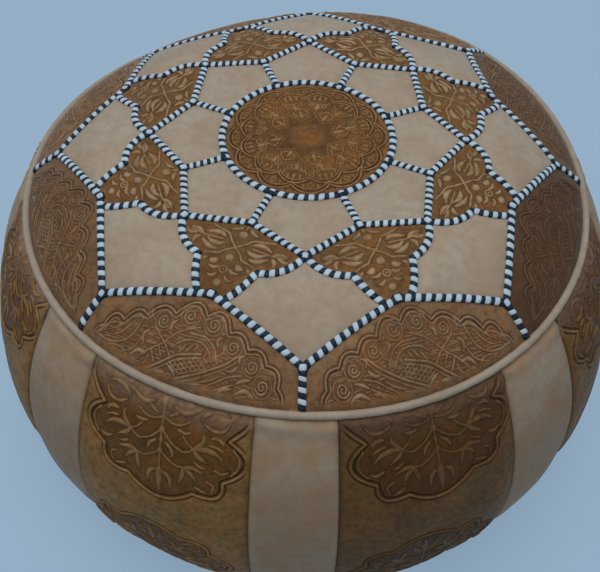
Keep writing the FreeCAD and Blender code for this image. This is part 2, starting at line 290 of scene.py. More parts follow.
def ripples(points, seed, wavelength):
    """A smooth random surface, about -1 to 1, made of crossing waves."""
    draw = np.random.default_rng(seed)
    ranges = [(0, math.pi), (0, FULL_TURN), RIPPLE_STRETCH]
    total = np.zeros(len(points))
    for turn, phase, stretch in zip(*[draw.uniform(*ends, RIPPLE_WAVES) for ends in ranges]):
        along = points[:, 0] * math.cos(turn) + points[:, 1] * math.sin(turn)
        total += np.sin(along * FULL_TURN / (wavelength * stretch) + phase)
    return total / math.sqrt(2 * RIPPLE_WAVES)


# Stamped ornament: strokes, each a line with half widths along it and a height. A negative height is a cut.

LEAF_STEPS = 6
LEAF_TIP = 0.12
LEAF_SWELL = 0.8
BEAD_HALF = 0.2
STROKE_RUN = 6
STROKE_CREST = 0.4
VEIN_ENDS = slice(3, -5)
VEIN_WIDTH = 0.35
VEIN_DEPTH = 0.6
GROOVE_PLACE = 1.9
GROOVE_WIDTH = 0.75
GROOVE_DEPTH = 0.9
SCROLL_RING_GAP = 1.9
SCROLL_RING_WIDTH = 0.75
SCROLL_RING_HEIGHT = 0.7
NEAR_STROKE = 2.4
FOOT_WIDTH = 1.15
FOOT_DEPTH = 0.55
FOOT_CLEAR = 1.6


def stroke(line, half_width, height=1.0):
    line = np.asarray(line, float)
    return line, np.broadcast_to(half_width, len(line)).astype(float), height


def redrawn(strokes, change):
    """Strokes with their lines changed by a function, and their widths and heights kept."""
    return [(change(line), width, height) for line, width, height in strokes]


def leaf(points, half_width, height=1.0):
    """A pointed leaf along a curve."""
    line = smooth_line(points, LEAF_STEPS)
    share = np.linspace(0, 1, len(line))
    swell = LEAF_TIP + (1 - LEAF_TIP) * np.sin(math.pi * share**LEAF_SWELL)
    return line, half_width * swell, height


def bead(centre, radius, height=1.0):
    centre = np.asarray(centre, float)
    return np.array([centre - (BEAD_HALF, 0), centre + (BEAD_HALF, 0)]), np.full(2, float(radius)), height


def both_sides(strokes):
    return strokes + redrawn(strokes, mirror)


def stroke_heights(points, strokes):
    """How far the strokes stand proud at each point, with the highest one winning."""
    order = np.argsort(points[:, 1])
    sorted_points = points[order]
    top = np.zeros(len(points))
    for line, width, height in strokes:
        for first in range(0, len(line) - 1, STROKE_RUN):
            part = line[first:first + STROKE_RUN + 1]
            wide = width[first:first + STROKE_RUN + 1]
            low, high = part.min(0) - wide.max(), part.max(0) + wide.max()
            rows = slice(*np.searchsorted(sorted_points[:, 1], (low[1], high[1])))
            band = sorted_points[rows]
            near = np.flatnonzero((band[:, 0] > low[0]) & (band[:, 0] < high[0]))
            if not len(near):
                continue
            share, gap = to_segments(band[near], part)
            full = np.clip(1 - (gap / (wide[:-1] + share * np.diff(wide)))**2, 0, 1).max(1)
            near = near + rows.start
            crest = np.sqrt(full) * (STROKE_CREST + (1 - STROKE_CREST) * full)
            top[near] = np.maximum(top[near], height * crest)
    result = np.empty(len(points))
    result[order] = top
    return result


def near_strokes(spots, strokes, margin=NEAR_STROKE):
    """True where a stroke, or its edge, is close."""
    wide = [(line, width + margin, 1.0) for line, width, _ in strokes]
    return stroke_heights(spots, wide) > 0


def beside(line, gap):
    """A line moved sideways by a gap, to its left for a positive one."""
    line = np.asarray(line, float)
    return line + left_of(unit(np.gradient(line, axis=0))) * gap


def veined(points, half_width):
    """A pointed leaf with a cut vein."""
    vein = smooth_line(points, LEAF_STEPS)[VEIN_ENDS]
    return [leaf(points, half_width), stroke(vein, VEIN_WIDTH, -VEIN_DEPTH)]


def grooved(line, half_width, height):
    """A raised line with a cut line along each side."""
    cuts = [stroke(beside(line, half_width * way), half_width * GROOVE_WIDTH, -GROOVE_DEPTH * height)
            for way in (GROOVE_PLACE, -GROOVE_PLACE)]
    return [stroke(line, half_width, height)] + cuts


def scroll(centre, radius, start, turns, half_width, height):
    """A spiral inside a finer ring."""
    around = ring(centre, radius + SCROLL_RING_GAP)
    return [stroke(spiral(centre, radius, start, turns), half_width, height),
            stroke(around, half_width * SCROLL_RING_WIDTH, height * SCROLL_RING_HEIGHT)]


def scalloped(cusps, peaks):
    """A line of arches from cusp to cusp, each over its peak."""
    arches = [bow(start, peak, end)[:-1] for start, peak, end in zip(cusps, peaks, cusps[1:])]
    return np.concatenate(arches + [np.array(cusps[-1:], float)])


def beside_raised(raised):
    """1 on the ground, and 0 on raised strokes."""
    return 1 - np.clip(raised * FOOT_CLEAR, 0, 1)


def relief(points, strokes):
    """Heights of raised strokes, and depths of cut ones and of the dent along each raised one's foot."""
    high = [(line, width, height) for line, width, height in strokes if height > 0]
    low = [(line, width, -height) for line, width, height in strokes if height < 0]
    foot = [(line, width + FOOT_WIDTH, height * FOOT_DEPTH) for line, width, height in high]
    raised = stroke_heights(points, high)
    return raised, stroke_heights(points, foot + low) * beside_raised(raised)


# Rosette of the side panels, about its centre and with y down. The upper one has only its lower half.

ROSETTE_CUSPS = [(61, 2), (45.5, 26.5), (44, 60), (24, 74.5), (-24, 74.5), (-44, 60), (-45.5, 26.5), (-61, 2)]
ROSETTE_PEAKS = [(56.8, 13.5), (58.5, 44), (40.5, 74), (0, 86), (-40.5, 74), (-58.5, 44), (-56.8, 13.5)]
ROSETTE_PITCH = 209.0
ROSETTE_TILT = -3.5
UPPER_FORK = (22.5, 36.5)
LOWER_FORK = (17, 53)
ROSETTE_STEM = [(0, 12), (0, 60)]
ROSETTE_BUDS = [(28, 2.4), (45, 2.2), (36.5, 1.6)]
ROSETTE_SPIKES = [([(0, 57), (0, 67), (0, 81)], 3.0), ([(0, 1), (0, 7), (0, 15)], 2.6)]
ROSETTE_VINES = [
    [(0, 28), (7, 36), (15, 40.5), (20, 39.5), UPPER_FORK], [(15, 29), (18, 33), UPPER_FORK],
    [(0, 45), (6, 50), (12, 53.2), LOWER_FORK], [(0, 19), (7, 22), (13, 21.5), (18, 18)],
    [(48.5, 32), (53, 39), (53, 47), (49, 53)], [(33, 60.5), (38, 64), (37, 70)]]
ROSETTE_LEAVES = [
    ([UPPER_FORK, (27.5, 32), (29, 28), (27.8, 23.5)], 2.0),
    ([UPPER_FORK, (29, 35.6), (37, 37), (43.5, 42.5)], 2.5),
    ([UPPER_FORK, (26.5, 41.5), (33, 46)], 2.2), ([LOWER_FORK, (23.5, 52), (32, 55)], 2.2),
    ([LOWER_FORK, (22.5, 57), (26.5, 63)], 2.1), ([LOWER_FORK, (16.5, 60), (14.5, 67.5)], 2.1),
    ([(6, 9), (14, 12.2), (21, 9.4), (27, 5)], 2.2), ([(10.5, 12.4), (8, 15), (3, 18)], 1.7),
    ([(25.5, 15), (29, 9), (36, 6.4), (43.5, 9)], 2.0), ([(27, 16.5), (34, 20.5), (41, 19.5), (45, 12)], 1.6),
    ([(33, 26), (39, 26.5), (43, 31)], 1.9), ([(2.5, 61), (7.5, 66), (8.5, 75)], 2.0),
    ([(3, 37), (8, 42), (9.5, 48)], 1.7), ([(25, 67), (30, 70), (35, 71.5)], 1.4),
    ([(37, 49.5), (43, 52.5), (48, 50)], 1.6), ([(10, 25), (16, 26.5), (20.5, 25)], 1.5),
    ([(32, 31.5), (38, 32.5), (44, 36)], 1.3), ([(24, 46), (27, 49), (33, 50.5)], 1.3)]
# Half width and height of the rosette's edge and vines, and of the finer line inside its edge
ROSETTE_EDGE = (1.05, 1.1)
ROSETTE_VINE = (0.9, 0.9)
ROSETTE_INNER = (0.55, 0.5)
ROSETTE_INNER_GAP = 3.8


def rosette_edge():
    """The lobed lower edge of a rosette."""
    return scalloped(ROSETTE_CUSPS, ROSETTE_PEAKS)


def rosette_strokes():
    """Lobed edge, a stem with buds, and vines with forked leaves in each lobe."""
    edge = rosette_edge()
    right = [stroke(smooth_line(vine), *ROSETTE_VINE) for vine in ROSETTE_VINES]
    for line, half_width in ROSETTE_LEAVES:
        right += veined(line, half_width)
    middle = [stroke(ROSETTE_STEM, 1.0)] + [bead((0, level), radius) for level, radius in ROSETTE_BUDS]
    for line, half_width in ROSETTE_SPIKES:
        middle += veined(line, half_width)
    edges = grooved(edge, *ROSETTE_EDGE) + [stroke(beside(edge, ROSETTE_INNER_GAP), *ROSETTE_INNER)]
    return redrawn(edges + both_sides(right) + middle, lambda line: turned(line, ROSETTE_TILT))


def side_ornament(shift):
    """Strokes of a brown side panel, and the outlines of its pressed grounds."""
    half = rosette_edge()
    full = turned(np.concatenate([half, half[::-1] * (1, -1)]), ROSETTE_TILT)
    upper = rosette_strokes()
    whole = upper + redrawn(upper, np.negative)
    strokes = redrawn(upper, lambda line: line + (0, shift))
    strokes += redrawn(whole, lambda line: line + (0, ROSETTE_PITCH))
    return strokes, [full + (0, shift), full + (0, ROSETTE_PITCH)]


# Half rosette of the border panels, with x across and y outwards from the pouf's centre

BORDER_CUSPS = [(-72, 216), (-65, 198), (-53, 188.8), (-38.5, 184.8), (-23.3, 179.8), (-4.5, 175.4),
                (16.6, 180.2), (35.4, 186), (50.5, 192.4), (64.5, 198), (72.5, 212)]
BORDER_PEAKS = [(-71, 204), (-61.5, 189.6), (-46.5, 182.7), (-31.5, 178), (-14.5, 170), (5.8, 169.4),
                (26.5, 177.8), (43.5, 184.6), (58.5, 190), (70.5, 202)]
# Centre, radius and hand of each scroll
BORDER_SCROLLS = [((-11, 179), 4.6, 1), ((6.1, 178.7), 4.8, -1), ((22.3, 186.3), 4.3, -1),
                  ((-28.4, 187), 4.3, 1), ((-44.5, 193), 4.2, 1), ((-55, 201), 4.4, 1)]
SCROLL_START = 60
SCROLL_TURNS = 1.7
BORDER_BANDS = [[(-33.5, 190.8), (-27.9, 197.2), (-22.5, 201.5), (-13.1, 207.7), (-2, 213.1), (8, 218)],
                [(-10, 197.4), (-3, 199.6), (5.7, 202.6), (15.4, 209.3), (25.5, 215.5)]]
BORDER_LINES = [
    [(-3.2, 183), (2.9, 185.7), (8.8, 189.2), (14, 194.3), (18, 199), (26, 204.5), (33, 211)],
    [(26.4, 191.3), (21.1, 195), (15.9, 198.6), (10.5, 204)],
    [(-21.8, 199), (-17.9, 192.7), (-13.5, 189.1), (-7.4, 187.4), (2, 188)],
    [(-18, 200), (-13.6, 194), (-6.5, 191.1), (2.5, 192.5), (8, 196.5)],
    [(-40, 200), (-32.2, 203.6), (-26.9, 207.8), (-20.9, 212.2), (-16, 217)],
    [(33.6, 199.5), (37.4, 205.9), (43.7, 209), (53, 210.5)],
    [(-13.4, 195.6), (-12.6, 198.4)], [(-10.2, 193.8), (-9, 196.2)], [(-6.4, 193.6), (-4.6, 197)],
    [(-2.4, 194), (0, 198.6)], [(1.6, 195), (4.6, 200.4)], [(20, 200.5), (16, 206)], [(24, 204), (20, 210)],
    [(-65, 206), (-59.5, 208.5), (-54.5, 209.5), (-49.5, 208.5), (-44, 211), (-38, 214.5)],
    [(-66, 211), (-60, 212.5), (-53, 214.5), (-46.5, 217)], [(-15.2, 213.3), (-8.4, 215), (-1.4, 216)],
    [(-36.8, 206.5), (-31, 210), (-23.7, 214.5)], [(41.4, 211), (44.5, 208), (50.2, 206.8), (57.5, 207.2)],
    [(-26.3, 205.3), (-21.2, 209.2), (-15.2, 212)], [(-23.8, 187), (-23.5, 192), (-20.1, 195.3)],
    [(24.7, 207.7), (25.4, 210.9), (28.8, 213.6)]]
BORDER_LEAVES = [
    ([(41, 189.6), (44.6, 194), (48, 198), (54, 201.4), (62, 201.6)], 0.8),
    ([(45, 190), (49, 194), (54, 197.4), (60.4, 199.6)], 0.9), ([(29, 193.5), (33, 197), (31, 203)], 1.3),
    ([(27, 207), (34, 206.5), (40, 212)], 1.4), ([(36, 214), (45, 212.6), (54, 215)], 1.4),
    ([(-52, 208), (-45, 207), (-38, 212)], 1.5), ([(-62, 206), (-58, 210), (-50, 214)], 1.4),
    ([(-36, 196), (-33, 200), (-28, 201)], 1.2), ([(-37, 209), (-31, 211), (-27, 216)], 1.4),
    ([(-47, 200), (-41, 203), (-38, 206)], 1.2), ([(2, 214), (6, 211), (11, 208.6)], 1.3),
    ([(13, 183), (16, 187), (15, 191)], 1.2), ([(-20, 184), (-17, 187), (-20, 191)], 1.2),
    ([(-38, 188.5), (-35, 191), (-37, 195)], 1.1), ([(10, 214), (15, 214), (20, 217)], 1.2)]
ALMOND = [
    [(37, 188), (37.9, 191.8), (40.2, 197.8), (43.6, 202.1), (50.3, 204.9), (58.3, 205.1), (69, 202.4)],
    [(37, 188), (42, 188.4), (47, 191.6), (50.5, 195), (55.5, 194.6), (61.5, 197), (69, 202.4)]]
SUNS = [((33.4, 185.2), 3.4), ((-19, 197), 2.6)]
SUN_STEP = 40
SUN_HEART = 0.3
# Half width and height of each kind of stroke
BORDER_EDGE = (0.7, 0.95)
BORDER_INNER = (0.55, 0.85)
BORDER_SCROLL = (0.65, 0.9)
BORDER_BAND = (0.75, 1.0)
BORDER_BAND_FINE = (0.5, 0.8)
BORDER_LINE = (0.62, 0.9)
SUN_RAY = (0.45, 0.6)
BORDER_INNER_GAP = 2.7
BORDER_BAND_GAP = 2.4
BORDER_LEAF_HEIGHT = 0.9

# Lattice between the bands: a corner, its two sides, the cells along each side, its bars and its studs
LATTICE = ((-7.6, 199.9), (16.6, 7.5), (-8.6, 4.6))
LATTICE_CELLS = 3
LATTICE_BAR = (0.45, 0.9)
LATTICE_STUD = (0.8, 0.7)

# Hatching over the open ground
HATCH_PITCH = 2.3
HATCH_ROOM = 0.5
HATCH_LEAST = 3
HATCH_SWAY = 0.8
HATCH_WAVE = 7.0
HATCH_STROKE = (0.5, 0.7)
HATCH_SEED = 31


def border_edge():
    return scalloped(BORDER_CUSPS, BORDER_PEAKS)


def lattice():
    """A net of crossing bars with a stud in each opening."""
    corner, along, across = (np.asarray(p, float) for p in LATTICE)
    strokes = []
    for share in np.linspace(0, 1, LATTICE_CELLS + 1):
        strokes.append(stroke([corner + along * share, corner + along * share + across], *LATTICE_BAR))
        strokes.append(stroke([corner + across * share, corner + across * share + along], *LATTICE_BAR))
    middles = (np.arange(LATTICE_CELLS) + 0.5) / LATTICE_CELLS
    strokes += [bead(corner + along * i + across * j, *LATTICE_STUD) for i in middles for j in middles]
    return strokes


def hatching(strokes, edge):
    """Fine wavy lines across the open ground inside an edge, broken where other strokes pass."""
    draw = np.random.default_rng(HATCH_SEED)
    low, high = edge.min(0), edge.max(0)
    x = np.arange(low[0], high[0])
    lines = []
    for level in np.arange(low[1] + HATCH_PITCH, high[1], HATCH_PITCH):
        sway = HATCH_SWAY * np.sin(x / HATCH_WAVE + draw.uniform(0, FULL_TURN))
        line = np.stack([x, level + sway], 1)
        free = inside(line, edge) & ~near_strokes(line, strokes, HATCH_ROOM)
        for run in np.split(np.arange(len(x)), np.flatnonzero(np.diff(free)) + 1):
            if free[run[0]] and len(run) >= HATCH_LEAST:
                lines.append(stroke(line[run], *HATCH_STROKE))
    return lines


def border_strokes():
    """Lobed edge, scrolls in its lobes, crossing bands, a lattice, an almond leaf, suns and hatching."""
    edge = border_edge()
    strokes = grooved(edge, *BORDER_EDGE) + [stroke(beside(edge, BORDER_INNER_GAP), *BORDER_INNER)]
    for centre, radius, hand in BORDER_SCROLLS:
        strokes += scroll(centre, radius, 90 - hand * SCROLL_START, hand * SCROLL_TURNS, *BORDER_SCROLL)
    for line in BORDER_BANDS:
        band = smooth_line(line)
        strokes += [stroke(band, *BORDER_BAND), stroke(beside(band, BORDER_BAND_GAP), *BORDER_BAND_FINE)]
    strokes += [stroke(smooth_line(line), *BORDER_LINE) for line in BORDER_LINES]
    strokes += [leaf(line, half_width, BORDER_LEAF_HEIGHT) for line, half_width in BORDER_LEAVES]
    strokes += lattice()
    strokes += [stroke(smooth_line(line), *BORDER_EDGE) for line in ALMOND]
    for centre, radius in SUNS:
        for turn in np.radians(np.arange(0, 360, SUN_STEP)):
            way = np.array([math.cos(turn), math.sin(turn)])
            strokes.append(stroke([centre + way * radius * SUN_HEART, centre + way * radius], *SUN_RAY))
    return strokes + hatching(strokes, edge)


# Kite panels, with x across and y outwards from the pouf's centre

KITE_CROSS = [(-24, 109.5), (-18, 111.6), (-9.5, 114), (-5.6, 118.8), (0, 124), (5.6, 128.6), (8.6, 132.2),
              (14.4, 133.4), (21, 135.4), (28, 138.5)]
KITE_CROSS_STEPS = 6
KITE_BRANCH = [(11.5, 120.6), (17, 121), (25, 121.4), (35, 119.6)]
KITE_LEAVES = [
    ([(10.5, 117.6), (15, 115.6), (20, 116.4), (25, 118.6)], 2.1),
    ([(8.5, 123.4), (13, 125.4), (18, 124.8), (22.5, 122)], 2.0),
    ([(12, 129.6), (17, 129.4), (22, 127), (25.5, 124.6)], 1.9), ([(26, 120.5), (31, 117.8), (37, 118)], 1.6),
    ([(30, 121.6), (36, 122.4), (41, 120.6)], 1.5), ([(27, 123.4), (30, 126), (30, 130.5)], 1.7),
    ([(2.5, 104.5), (6, 107.6), (11, 109.6)], 1.5), ([(7, 137), (9.4, 138.8), (12.5, 138.4)], 2.4),
    ([(3.4, 141.4), (7, 143.6), (12, 142.2)], 1.4), ([(14.5, 137), (18, 140), (18, 145)], 1.6),
    ([(2.6, 147), (6, 149.6), (9.4, 149)], 1.3), ([(20, 138.5), (23.5, 140), (24, 143)], 1.3)]
KITE_LEAF_SWELL = 1.15
KITE_BEADS = [(111.2, 3.7), (132.8, 3.5), (153, 3.2), (142.8, 1.0)]
KITE_RING = ((0, 142.8), 2.6, 16)
KITE_TIP = ([(0, 100.5), (0, 103.5), (0, 107)], 1.4)
# Half width and height
KITE_CROSS_STROKE = (0.95, 1.0)
KITE_BRANCH_STROKE = (0.7, 0.9)
KITE_RING_STROKE = (0.75, 1.0)


def kite_strokes():
    """Two wavy lines that cross, with leaves and beads in the four fields between them."""
    right = [stroke(smooth_line(KITE_CROSS, KITE_CROSS_STEPS), *KITE_CROSS_STROKE),
             stroke(smooth_line(KITE_BRANCH), *KITE_BRANCH_STROKE)]
    right += [leaf(line, half_width * KITE_LEAF_SWELL) for line, half_width in KITE_LEAVES]
    middle = [bead((0, level), radius) for level, radius in KITE_BEADS]
    middle += [stroke(ring(*KITE_RING), *KITE_RING_STROKE), leaf(*KITE_TIP)]
    return both_sides(right) + middle


# Medallion in the middle of the crown, about its centre

STAR_POINTS = 8
STAR_TURN = -10.0
STAR_RADII = (27.5, 17.8)
# How the star is dyed darker: its share, and the depths inside the outline and the radii over which it comes
# in
STAR_DYE = 0.4
STAR_RIM = (-0.3, 1.2)
STAR_HEART = (9.0, 17.0)
STAR_SPACING = 2.0
STAR_ARCH = [(-6.8, 25.4), (0, 31.5), (6.8, 25.4)]
LOBES = 12
LOBE_TURN = -12.0
LOBE_STEPS = 288
LOBE_POINT = 0.75
LOBE_HEIGHT = 0.95
# Inner radius, swell, shift in lobes and half width of each row of lobes
LOBE_LINES = [(53.6, 6.9, 0, 0.75), (50.6, 6.6, 0, 0.5), (45.0, 6.9, 0.5, 0.7), (42.4, 6.5, 0.5, 0.5)]
# Scrolls beside the middle of each lobe: centre, radius, start and turns of the right one
LOBE_SCROLL = ((4.4, 36.2), 3.9, 250, -1.6)
# A ring with a bead between two lobes
CUSP_MIDDLE = (0, 53.6)
CUSP_RING = (CUSP_MIDDLE, 2.1, 14)
CUSP_BEAD = (0.8, 0.8)
# Half width and height
STAR_STROKE = (0.6, 0.45)
ARCH_STROKE = (0.7, 0.85)
LOBE_SCROLL_STROKE = (0.7, 0.9)
CUSP_STROKE = (0.55, 0.85)
# Leaves, drawn outwards along y: points, half width and height. Pairs also stand on the other side.
LOBE_LEAVES = [([(0, 30.5), (0, 34), (0, 41)], 1.6, 0.95), ([(0, 42.5), (0, 45), (0, 49)], 1.5, 0.9)]
LOBE_PAIRS = [
    ([(3.4, 42), (4.6, 45), (3.4, 48.4)], 1.1, 0.8), ([(3.2, 59), (5.4, 60.4), (8.2, 60.6)], 0.9, 0.7),
    ([(6.5, 38.4), (8.4, 41), (8.0, 44)], 0.9, 0.8)]
CUSP_PAIRS = [([(4.2, 51.6), (5.8, 54), (5.0, 56.4)], 0.9, 0.8)]
STAR_LEAVES = [([(0, 20), (0, 24), (0, 29.5)], 1.9, 0.95)]
STAR_PAIRS = [([(2.0, 22.5), (4.4, 24.5), (5.2, 27)], 1.0, 0.8)]


def star_outline():
    corners = enumerate(STAR_RADII * STAR_POINTS)
    return np.array([plan(radius, STAR_TURN + corner * 180 / STAR_POINTS) for corner, radius in corners])


def spun(points, degrees):
    """Points drawn outwards along y, turned to a direction in the plan."""
    return turned(np.asarray(points, float) * (1, -1), degrees)


def spray(single, pairs, degrees):
    """Leaves about a direction in the plan, single ones on it and pairs on both sides of it."""
    mirrored = [(mirror(points), half_width, height) for points, half_width, height in pairs]
    return [leaf(spun(points, degrees), half_width, height)
            for points, half_width, height in single + pairs + mirrored]


def medallion_strokes():
    """A star in the middle, scrolls and palmettes round it, and rows of overlapping lobes near the rim."""
    turn = np.linspace(0, FULL_TURN, LOBE_STEPS + 1)
    way = np.stack([np.sin(turn), -np.cos(turn)], 1)
    strokes = [stroke(closed(spaced(closed(star_outline()), STAR_SPACING)), *STAR_STROKE)]
    for low, swing, shift, half_width in LOBE_LINES:
        swell = np.abs(np.sin(turn * LOBES / 2 + shift * math.pi))[:, None]**LOBE_POINT
        strokes += grooved(turned(way * (low + swing * swell), LOBE_TURN), half_width, LOBE_HEIGHT)
    for lobe in range(LOBES):
        at = LOBE_TURN + lobe * 360 / LOBES
        cusp = at + 180 / LOBES
        right = spiral(*LOBE_SCROLL)
        strokes += [stroke(spun(line, at), *LOBE_SCROLL_STROKE) for line in (right, mirror(right))]
        strokes += spray(LOBE_LEAVES, LOBE_PAIRS, at) + spray([], CUSP_PAIRS, cusp)
        strokes.append(stroke(spun(ring(*CUSP_RING), cusp), *CUSP_STROKE))
        strokes.append(bead(spun([CUSP_MIDDLE], cusp)[0], *CUSP_BEAD))
    for point in range(STAR_POINTS):
        at = STAR_TURN + (point + 0.5) * 360 / STAR_POINTS
        strokes += spray(STAR_LEAVES, STAR_PAIRS, at)
        strokes.append(stroke(spun(bow(*STAR_ARCH), at), *ARCH_STROKE))
    return strokes


def star_shade(flat):
    """The star's points are dyed darker than its heart."""
    points = smooth_step(depth_inside(flat, star_outline()), *STAR_RIM)
    return STAR_DYE * points * smooth_step(np.hypot(*flat.T), *STAR_HEART)


# Flat nets of points for the panels

def even_points(outline, spacing):
    """Points in staggered rows over an outline's box."""
    low, high = outline.min(0), outline.max(0)
    rows = np.arange(low[1], high[1], spacing * math.sqrt(3) / 2)
    columns = np.arange(low[0], high[0] + spacing, spacing)
    shift = (np.arange(len(rows)) % 2 * spacing / 2)[:, None]
    x = np.broadcast_to(columns, (len(rows), len(columns))) + shift
    return np.stack([x.ravel(), np.repeat(rows, len(columns))], 1)


EDGE_SPACING = 1.4
EDGE_ROOM = 0.5
INSIDE_ONLY = 1
JOIN_WITHIN = 1e-6


def net(outline, spacing, wide_spacing, detail=None):
    """Points and triangles inside an outline: its own points, then even ones, finer where there is detail."""
    loop = closed(outline)
    edge = spaced(loop, spacing * EDGE_SPACING)
    layers = [edge]
    for step, fine in ((wide_spacing, False), (spacing, True)):
        spots = even_points(outline, step)
        spots = spots[inside(spots, outline)]
        if detail is not None:
            spots = spots[detail(spots) == fine]
        elif fine:
            continue
        layers.append(spots[segments_near(spots, loop) > step * EDGE_ROOM])
    points = np.concatenate(layers)
    corners = [Vector(point) for point in points]
    faces = delaunay_2d_cdt(corners, [], [list(range(len(edge)))], INSIDE_ONLY, JOIN_WITHIN)[2]
    return points, np.array(faces), len(edge)


def wall_faces(rim, count):
    """Triangles that close the edge between two nets, the second one's points starting at count."""
    here = np.arange(rim)
    after = np.roll(here, -1)
    return np.concatenate([np.stack([here, count + here, after], 1),
                           np.stack([after, count + here, count + after], 1)])


# Where the rim is uneven: the plan angle, the reach to each side of it, the radius from which the crown is
# moved, and the rim's shift outwards and upwards
UNEVEN = [(142, 62, 172, 4.5, 8.5), (212, 46, 110, -2.0, -5.0), (-10, 42, 185, -1.2, 2.8)]
# Nothing moves below this level
UNEVEN_FOOT = 120.0


def plan_angle(points):
    return np.degrees(np.arctan2(points[:, 0], -points[:, 1]))


def settled(points):
    """Points of the cover and the stuffing, moved with the rim where it stands high or has sagged."""
    points = np.asarray(points, float)
    radius = np.hypot(points[:, 0], points[:, 1])
    out = points[:, :2] / np.maximum(radius, 1)[:, None]
    result = points.copy()
    for middle, spread, start, outward, upward in UNEVEN:
        apart = np.abs((plan_angle(points) - middle + 180) % 360 - 180)
        share = 1 - smooth_step(apart, 0, spread)
        share *= smooth_step(radius, start, EDGE_RADIUS) * smooth_step(points[:, 2], UNEVEN_FOOT, EDGE_HEIGHT)
        result[:, :2] += out * (outward * share)[:, None]
        result[:, 2] += upward * share
    return result


def new_mesh(name, points, faces, attributes=None):
    """A smooth mesh object from points in millimetres, with values at its points for its material."""
    mesh = bpy.data.meshes.new(name)
    corners = faces.tolist() if isinstance(faces, np.ndarray) else [list(face) for face in faces]
    mesh.from_pydata((settled(points) * MM).tolist(), [], corners)
    mesh.shade_smooth()
    for key, values in (attributes or {}).items():
        mesh.attributes.new(key, "FLOAT", "POINT").data.foreach_set("value", values.astype(np.float32))
    piece = bpy.data.objects.new(name, mesh)
    bpy.context.scene.collection.objects.link(piece)
    return piece


def skinned(rings, capped=True):
    """Points and faces of a skin over rings, each turning left as seen from the next one."""
    count, sides = rings.shape[:2]
    index = np.arange(count * sides).reshape(count, sides)
    faces = []
    for row, after in zip(index, index[1:] if capped else np.roll(index, -1, 0)):
        faces += [(row[i - 1], row[i], after[i], after[i - 1]) for i in range(sides)]
    if capped:
        faces += [tuple(index[0, ::-1]), tuple(index[-1])]
    return rings.reshape(-1, 3), faces


def gathered(name, parts):
    """One mesh from the points and faces of several parts."""
    points, faces, start = [], [], 0
    for some, corners in parts:
        points.append(some)
        faces += [tuple(corner + start for corner in face) for face in corners]
        start += len(some)
    return new_mesh(name, np.concatenate(points), faces)


def outwards(piece):
    """Turns the faces of a closed mesh of triangles so that they look out."""
    mesh = piece.data
    corners = np.empty(len(mesh.polygons) * 3, np.int32)
    mesh.loops.foreach_get("vertex_index", corners)
    points = np.empty(len(mesh.vertices) * 3, np.float32)
    mesh.vertices.foreach_get("co", points)
    a, b, c = points.reshape(-1, 3)[corners.reshape(-1, 3)].transpose(1, 0, 2)
    if (np.cross(a, b) * c).sum() < 0:
        mesh.flip_normals()
    return piece


def dress(piece, node, material, body="pouf"):
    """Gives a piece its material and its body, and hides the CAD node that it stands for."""
    piece.data.materials.append(material)
    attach(piece, body)
    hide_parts(node)


SEAM_SINK = 1.1
SEAM_ROLL = 6.5
# Distance over which painted shade darkens the leather beside a seam
SEAM_SHADE = 3.0
UNDER_SPACING = 9.0
# Distances over which a ground comes in at its edge, and ornament and unevenness come in beside a seam
GROUND_EDGE = (-1.0, 1.5)
ORNAMENT_EDGE = (1.5, 6.0)
WOBBLE_EDGE = 18
# Seed shift, wavelength and share of the waves that a panel's colour follows
TONE_WAVES = [(100, 70.0, 0.6), (200, 22.0, 0.4)]


def puffed(distance, rise):
    """Height of leather that swells over the stuffing and is drawn down at its seams."""
    return (rise + SEAM_SINK) * (1 - np.exp(-distance / SEAM_ROLL)) - SEAM_SINK


